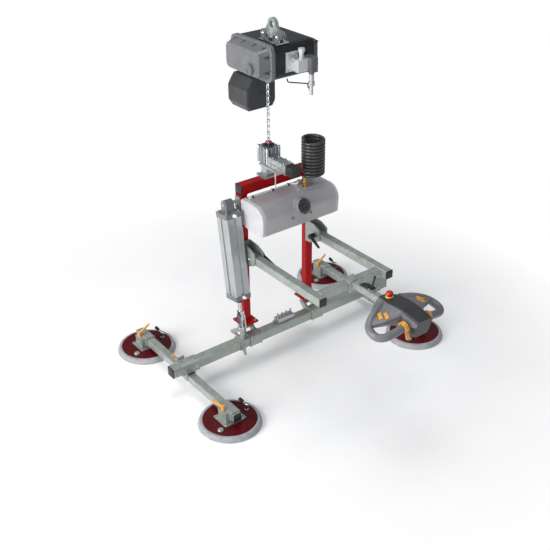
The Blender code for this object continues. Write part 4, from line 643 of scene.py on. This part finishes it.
def frame_bolts():
    """Bolts of the post feet, hinges, arm pivots and sliding collars, and the rod fork's pin heads."""
    for side, x in POST_X.items():
        sign = -1 if side == "left" else 1
        corners = [(x + a, b, 0.20) for a in (-0.034, 0.034) for b in (-0.034, 0.034)]
        bolts(f"foot_bolts_{side}", f"post_{side}", "yoke", corners, (0, 0, 1), 0.0065, reach=0.03)
        bolts(f"hinge_pins_{side}", f"hinge_bearing_{side}", "yoke", [(x, 0, 0.168)],
              (sign, 0, 0), 0.0075)
        pivots = [(x, *ARM_PIVOT), (x, -0.035, 0.645), (x, -0.035, 0.555)]
        bolts(f"pivot_heads_{side}", f"arm_bracket_{side}", "yoke", pivots, (sign, 0, 0), 0.0075)
        bar, bar_x = "t_bar_" + side, PAD_X[1 if side == "left" else 3]
        seats = [(bar_x + a, BEAM_Y, BEAM_HEIGHT) for a in (-0.03, 0.03)]
        bolts(f"collar_bolts_{side}", bar, bar, seats, (0, -1, 0), 0.0065)
        seats = [(bar_x + a, BEAM_Y, BEAM_HEIGHT + BEAM_TUBE / 2) for a in (-0.03, 0.03)]
        bolts(f"collar_top_bolts_{side}", bar, bar, seats, (0, 0, 1), 0.0055)
    for word, sign in (("left", -1), ("right", 1)):
        bolts(f"fork_pin_{word}", "piston_rod", "rod", [(CYLINDER_X, *PIN_PLACE)], (sign, 0, 0), 0.009,
              head=button_head)


def bar_clamps():
    """Zinc tab and orange grip that clamp each cross bar's collar on the beam."""
    for side, x in (("left", PAD_X[1]), ("right", PAD_X[3])):
        tab, lever = bmesh.new(), bmesh.new()
        back = surface("t_bar_" + side, spot(x, -0.02, BEAM_HEIGHT), (0, 1, 0))
        block(tab, spot(x - 0.020, back.y + 0.0035, 0.142), (0.040, 0.007, 0.046), 0.0008)
        turned(tab, [(0, -0.001), (0.007, -0.001), (0.007, 0.009), (0, 0.009)],
               spot(x - 0.030, back.y + 0.007, 0.148), (0, 1, 0), 18)
        hub = spot(x - 0.030, back.y + 0.016, 0.148)
        turned(lever, [(0, 0), (0.008, 0), (0.008, 0.010), (0.006, 0.012), (0, 0.012)],
               hub, (0, 1, 0), 20)
        way = Vector((-0.55, 0.15, 0.8)).normalized()
        turned(lever, [(0, 0), (0.0045, 0), (0.0052, 0.020), (0.0045, 0.034), (0, 0.036)],
               hub + Vector((0, 0.006, 0)), way, 16)
        piece("bar_tab_" + side, tab, "zinc", "t_bar_" + side)
        piece("bar_grip_" + side, lever, "orange", "t_bar_" + side)


def pad_trim(number):
    """Screws, fitting and boss on one pad."""
    x, y = PAD_X[number], PAD_Y[number]
    node, body = f"pad_disc_{number}", f"pad_{number}"
    screws = [(x + a, y + b, 0.033) for a in (0.045, -0.049) for b in (0.037, -0.037)]
    bolts(f"holder_bolts_{number}", node, body, screws, (0, 0, 1), 0.006, reach=0.02)
    bolts(f"holder_side_bolts_{number}", node, body, [(x + 0.03, y + b, 0.068) for b in (-0.03, 0.03)],
          (1, 0, 0), 0.005, reach=0.05)
    bolts(f"valve_screw_{number}", node, body, [(x - 0.0336, y, 0.08)], (0, 0, 1), 0.0045,
          reach=0.03, head=cap_screw)

    bm = bmesh.new()
    base = spot(x + 0.096, y, 0.0279)
    post = [(0, 0), (0.011, 0), (0.011, 0.004), (0.0075, 0.005), (0.0075, 0.024),
            (0.0095, 0.025), (0.0095, 0.034), (0.0045, 0.036), (0, 0.036)]
    turned(bm, post, base, (0, 0, 1), 18)
    way = Vector((-0.5, 0.45, 0.74)).normalized()
    joint = base + Vector((0, 0, 0.027))
    turned(bm, [(0, -0.004), (0.0058, -0.004), (0.0058, 0.030), (0.0045, 0.032), (0, 0.032)],
           joint, way, 16)
    piece(f"vacuum_elbow_{number}", bm, "chrome", body)
    bm = bmesh.new()
    nut = [(0, 0.026), (0.0078, 0.026), (0.0084, 0.028), (0.0084, 0.046), (0.0062, 0.050), (0, 0.050)]
    turned(bm, nut, joint, way, 18)
    piece(f"elbow_nut_{number}", bm, "black", body)
    bm = bmesh.new()
    turned(bm, [(0, 0), (0.014, 0), (0.014, 0.006), (0.011, 0.009), (0, 0.009)],
           spot(x - 0.085, y - 0.050, 0.0277))
    piece(f"disc_boss_{number}", bm, "maroon", body)


def hoist_trim():
    """Cover bolts and boss rings, ear discs and pins, valve screws and knob, outlet and its stay."""
    y, z = HOIST_MIDDLE
    around = [(a, 0.0745) for a in (-0.11, -0.04, 0.04, 0.11)]
    around += [(a, -0.0745) for a in (-0.08, 0.08)]
    around += [(a, b) for a in (-0.1475, 0.1475) for b in (-0.03, 0.03)]
    bolts("cover_bolts", "hoist_gear_cover", "hoist", [(-0.075, y + a, z + b) for a, b in around],
          (-1, 0, 0), 0.0055, reach=0.06, head=cap_screw)
    bm = bmesh.new()
    boss = surface("hoist_gear_cover", spot(-0.12, 0.012, z - 0.028), (-1, 0, 0))
    ring(bm, boss + Vector((0.0005, 0, 0)), 0.022, 0.016, 0.003, (-1, 0, 0))
    ring(bm, boss + Vector((0.0005, 0, 0)), 0.010, 0.004, 0.002, (-1, 0, 0))
    piece("boss_rings", bm, "cover", "hoist")
    for word, sign in (("left", -1), ("right", 1)):
        discs, pins = bmesh.new(), bmesh.new()
        for ear_y in (-0.050, 0.050):
            seat = surface("suspension_bracket", spot(0, ear_y, 1.610), (sign, 0, 0))
            turned(discs, [(0, -0.0005), (0.019, -0.0005), (0.019, 0.004), (0.0178, 0.005), (0, 0.005)],
                   seat, (sign, 0, 0), 32)
            button_head(pins, seat + Vector((sign * 0.0045, 0, 0)), (sign, 0, 0), 0.010)
        piece(f"ear_discs_{word}", discs, "cover", "hoist")
        piece(f"ear_pins_{word}", pins, "chrome", "hoist")
    plate_corners = [(0.013, -0.13, 1.466), (0.085, -0.13, 1.466), (0.085, -0.13, 1.552)]
    bolts("valve_screws", "control_valve", "hoist", plate_corners, (0, -1, 0), 0.004, head=cap_screw)
    end_corners = [(0.2, y + a, z + b) for a in (-0.12, 0.12) for b in (-0.05, 0.05)]
    bolts("end_screws", "hoist_body", "hoist", end_corners, (1, 0, 0), 0.006, head=cap_screw)
    front = surface("control_valve", spot(0.040, -0.12, 1.515), (0, -1, 0))
    bm = bmesh.new()
    knob = [(0, -0.001), (0.011, -0.001), (0.011, 0.006), (0.015, 0.008),
            (0.015, 0.017), (0.013, 0.019), (0, 0.019)]
    turned(bm, knob, front, (0, -1, 0), 28)
    piece("valve_knob", bm, "chrome", "hoist")
    bm = bmesh.new()
    bottom = surface("air_regulator", spot(0.1163, -0.1143, 1.36), (0, 0, -1))
    bolt(bm, bottom + Vector((0, 0, 0.0005)), (0, 0, -1), 0.011, 0.014)
    turned(bm, [(0, 0), (0.0065, 0), (0.0065, 0.012), (0, 0.012)],
           bottom + Vector((0, 0, -0.014)), (0, 0, -1), 18)
    piece("regulator_outlet", bm, "chrome", "hoist")
    bm = bmesh.new()
    rod = [spot(0.020, -0.070, 1.4245), spot(0.022, -0.074, 1.408), spot(0.110, -0.108, 1.392)]
    tube(bm, arc_path(rod, 0.008), 0.0028, 12)
    piece("outlet_stay", bm, "dark", "hoist")


def swivel_trim():
    """Ring, columns and ribs of the swivel, its clamp bolts, the arm's screws and band, the thin rod."""
    bm = bmesh.new()
    ring(bm, spot(CHAIN_X, 0, 1.0998), 0.027, 0.0135, 0.006)
    piece("swivel_ring", bm, "black", "yoke")
    bm = bmesh.new()
    ring(bm, spot(CHAIN_X, 0, 1.114), 0.0155, 0.0125, 0.005)
    piece("chain_mark_ring", bm, "stop", "chain")
    bm = bmesh.new()
    for a in (-1, 1):
        for b in (-1, 1):
            turned(bm, [(0, 0), (0.0075, 0), (0.0075, 0.078), (0.006, 0.0805), (0, 0.0805)],
                   spot(CHAIN_X + a * 0.0335, b * 0.0335, 1.021), (0, 0, 1), 18)
    for k in range(5):
        shift = -0.020 + 0.010 * k
        block(bm, spot(CHAIN_X, shift, 1.060), (0.0785, 0.0040, 0.076), 0.0006)
        block(bm, spot(CHAIN_X + shift, 0, 1.060), (0.0040, 0.0785, 0.076), 0.0006)
    piece("swivel_ribs", bm, "aluminium", "yoke")
    feet = [(a, 0.030, 0.97) for a in (-0.078, 0.008)]
    bolts("swivel_bolts", "swivel_housing", "yoke", feet, (0, 0, 1), 0.0055, reach=0.2)
    side_holes = [(-0.07, y, h) for y in (-0.065, -0.15) for h in (1.025, 1.051)]
    bolts("arm_side_screws", "swivel_arm", "yoke", side_holes, (-1, 0, 0), 0.004, head=cap_screw)
    top_holes = [(x, y, 1.06) for y in (-0.07, -0.15) for x in (-0.062, -0.028)]
    bolts("arm_top_screws", "swivel_arm", "yoke", top_holes, (0, 0, 1), 0.004, head=cap_screw)
    bm = bmesh.new()
    block(bm, spot(-0.045, -0.112, 1.038), (0.0545, 0.010, 0.0545), 0.001)
    piece("arm_band", bm, "zinc", "yoke")
    bm = bmesh.new()
    tube(bm, [spot(-0.024, -0.034, 0.8885), spot(-0.024, -0.034, 1.0125)], 0.003, 12)
    piece("thin_rod", bm, "light", "yoke")


def end_panels():
    """Flat panels let into the recess of the vacuum unit's end frames, rounded as the sheet is."""
    corners = (
        (-0.1325, 0.8230, 0.0490, 90), (-0.1765, 0.7665, 0.005, 180),
        (-0.0395, 0.7665, 0.005, 270), (-0.0395, 0.8670, 0.005, 0),
    )
    middle_y, middle_h = -0.108, 0.8175
    outline = []
    for y, height, radius, first in corners:
        for k in range(9):
            angle = math.radians(first + 90 * k / 8)
            outline.append((y + radius * math.cos(angle), height + radius * math.sin(angle)))
    for word, sign in (("left", -1), ("right", 1)):
        face_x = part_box("unit_end_" + word)[0 if sign < 0 else 1][0]
        bm = bmesh.new()
        rings = []
        for depth, share in ((0.0040, 1.0), (0.0022, 1.0), (0.0018, 0.994)):
            loop = []
            for y, height in outline:
                place = (middle_y + (y - middle_y) * share, middle_h + (height - middle_h) * share)
                loop.append(bm.verts.new(spot(face_x - sign * depth, *place)))
            rings.append(loop)
        for low, high in zip(rings, rings[1:]):
            for k in range(len(outline)):
                n = (k + 1) % len(outline)
                bm.faces.new((low[k], low[n], high[n], high[k]))
        bm.faces.new(rings[0])
        bm.faces.new(rings[-1])
        piece("end_panel_" + word, bm, "shell", "yoke")


def unit_trim():
    """Gauge face, signal lamps, end screws and the air line along the vacuum unit."""
    x, y, height = GAUGE_SEAT
    out = Vector((0, -math.cos(GAUGE_TILT), math.sin(GAUGE_TILT)))
    seat = spot(x, y, height)
    bm = bmesh.new()
    turned(bm, [(0, 0), (0.0312, 0), (0.0312, 0.0012), (0, 0.0012)], seat + out * 0.0159, out, 40)
    piece("gauge_dial", bm, "dial", "yoke")
    side = Vector((1, 0, 0))
    up_face = out.cross(side) * -1
    basis = Matrix((side, up_face, out)).transposed().to_4x4()
    bm = bmesh.new()
    for k in range(13):
        angle = math.radians(-130 + 260 * k / 12)
        way = side * math.sin(angle) + up_face * math.cos(angle)
        long = 0.0065 if k % 3 == 0 else 0.004
        turn = basis @ Matrix.Rotation(-angle, 4, "Z")
        block(bm, seat + out * 0.0173 + way * (0.0285 - long / 2), (0.0011, long, 0.0006), 0, turn)
    piece("gauge_ticks", bm, "light", "yoke")
    bm = bmesh.new()
    turn = basis @ Matrix.Rotation(math.radians(118), 4, "Z")
    needle = turn.to_3x3() @ Vector((0, 0.008, 0))
    block(bm, seat + out * 0.0184 + needle, (0.0014, 0.026, 0.0007), 0, turn)
    turned(bm, [(0, 0), (0.0038, 0), (0.0038, 0.0022), (0, 0.0022)], seat + out * 0.0172, out, 20)
    piece("gauge_needle", bm, "stop", "yoke")
    bm = bmesh.new()
    turned(bm, [(0, 0), (0.0318, 0), (0.0318, 0.0012), (0.015, 0.0022), (0, 0.0024)],
           seat + out * 0.0222, out, 40)
    piece("gauge_lens", bm, "lens", "yoke")

    bezels = bmesh.new()
    for name, lamp_x, paint in (("run_lamp", -0.046, "green"), ("alarm_lamp", 0.060, "lamp_red")):
        face = surface("unit_housing", spot(lamp_x, -0.198, 0.801), (0, -1, 0))
        ring(bezels, face, 0.0075, 0.005, 0.0022, (0, -1, 0), 24)
        bm = bmesh.new()
        turned(bm, [(0, 0), (0.005, 0), (0.0048, 0.0025), (0.003, 0.0045), (0, 0.005)],
               face, (0, -1, 0), 20)
        piece(name, bm, paint, "yoke")
    piece("lamp_bezels", bezels, "black", "yoke")
    for word, sign in (("left", -1), ("right", 1)):
        corners = ((-0.032, 0.877), (-0.184, 0.760), (-0.160, 0.868))
        points = [(x + sign * 0.22, a, b) for a, b in corners]
        bolts(f"end_screws_{word}", f"unit_end_{word}", "yoke", points, (sign, 0, 0), 0.0045,
              head=button_head)
    bm = bmesh.new()
    line = 0.8935
    route = [(-0.190, -0.052, line), (-0.05, -0.046, line), (0.060, -0.0445, line),
             (0.083, -0.066, line), (0.083, -0.075, 0.912)]
    tube(bm, arc_path([spot(*point) for point in route], 0.012), 0.005, 12)
    piece("air_line", bm, "light", "yoke")
    bm = bmesh.new()
    for clip_x, clip_y in ((-0.17, -0.051), (-0.05, -0.046), (0.045, -0.0445)):
        block(bm, spot(clip_x, clip_y, line), (0.009, 0.014, 0.010), 0.001)
    piece("line_clips", bm, "black", "yoke")
    bm = bmesh.new()
    turned(bm, [(0, 0), (0.007, 0), (0.007, 0.012), (0.0055, 0.014), (0, 0.014)],
           spot(0.083, -0.075, 0.904))
    turned(bm, [(0, 0), (0.0055, 0), (0.0055, 0.016), (0, 0.016)],
           spot(0.083, -0.075, 0.912), (0.2, -1, 0), 18)
    piece("line_elbow", bm, "chrome", "yoke")


def cylinder_trim():
    """Cap screws, air ports and rod seal of the tilting cylinder."""
    down = Vector((0, -math.sin(CYLINDER_LEAN), -math.cos(CYLINDER_LEAN)))
    side = Vector((1, 0, 0))
    front = Vector((0, -math.cos(CYLINDER_LEAN), math.sin(CYLINDER_LEAN)))
    pivot = spot(CYLINDER_X, 0, 0.870)
    for word, distance, way in (("top", 0.030, -down), ("bottom", 0.500, down)):
        bm = bmesh.new()
        for a in (-0.033, 0.033):
            for b in (-0.033, 0.033):
                start = pivot + down * distance + side * a + front * b
                seat = surface(f"cylinder_{word}_cap", start, way, 0.04)
                cap_screw(bm, seat - way * HEAD_SINK, way, 0.0055)
        piece(f"cylinder_screws_{word}", bm, "zinc", "cylinder")
        port = surface(f"cylinder_{word}_cap", pivot + down * (0.048 if word == "top" else 0.465), front)
        bm = bmesh.new()
        profile = [(0, -0.0005), (0.009, -0.0005), (0.009, 0.006), (0.0065, 0.007),
                   (0.0065, 0.017), (0.0055, 0.019), (0, 0.019)]
        turned(bm, profile, port, front, 20)
        piece(f"cylinder_port_{word}", bm, "light", "cylinder")
    bm = bmesh.new()
    ring(bm, pivot + down * 0.5, 0.016, 0.0098, 0.005, down, 32)
    piece("rod_seal", bm, "black", "cylinder")


def handle_trim():
    """Yellow ring under the stop, the clamp with its upright knob on the handle's stem, and its screws."""
    bm = bmesh.new()
    ring(bm, spot(HANDLE_X, STOP_PLACE[0], STOP_PLACE[1] - 0.003), 0.0178, 0.0124, 0.0075)
    piece("stop_ring", bm, "yellow", "handle_frame")
    bm = bmesh.new()
    block(bm, spot(HANDLE_X + 0.0215, -0.659, 0.606), (0.011, 0.052, 0.040), 0.002)
    block(bm, spot(HANDLE_X + 0.0065, -0.640, 0.6215), (0.027, 0.044, 0.006), 0.0015)
    block(bm, spot(HANDLE_X + 0.0105, -0.676, 0.6225), (0.018, 0.014, 0.010), 0.0015)
    knob = [(0, 0), (0.0062, 0), (0.0055, 0.006), (0.0045, 0.030),
            (0.0062, 0.040), (0.0062, 0.046), (0.004, 0.050), (0, 0.050)]
    turned(bm, knob, spot(HANDLE_X + 0.024, -0.664, 0.620), (0.55, 0.2, 1), 18)
    piece("stem_clamp", bm, "black", "handle_frame")
    pins = [(HANDLE_X, y, 0.61) for y in (-0.61, -0.70, -0.745)]
    bolts("stem_pins", "handle_mount", "handle_frame", pins, (0, 0, 1), 0.006)
    screws = [(HANDLE_X, y, 0.603) for y in (-0.61, -0.72)]
    bolts("stem_side_screws", "handle_mount", "handle_frame", screws, (-1, 0, 0), 0.0045,
          head=button_head)


def manifold_trim():
    """Mounting screws of the vacuum manifold."""
    holes = [(x, -0.059, 0.17) for x in (-0.040, 0.045)]
    bolts("manifold_screws", "vacuum_manifold", "suction_frame", holes, (0, 0, 1), 0.004, head=cap_screw)


stage()
air_coil()
tube_caps()
welds()
frame_bolts()
bar_clamps()
for pad in PAD_X:
    pad_trim(pad)
hoist_trim()
swivel_trim()
unit_trim()
end_panels()
cylinder_trim()
handle_trim()
manifold_trim()
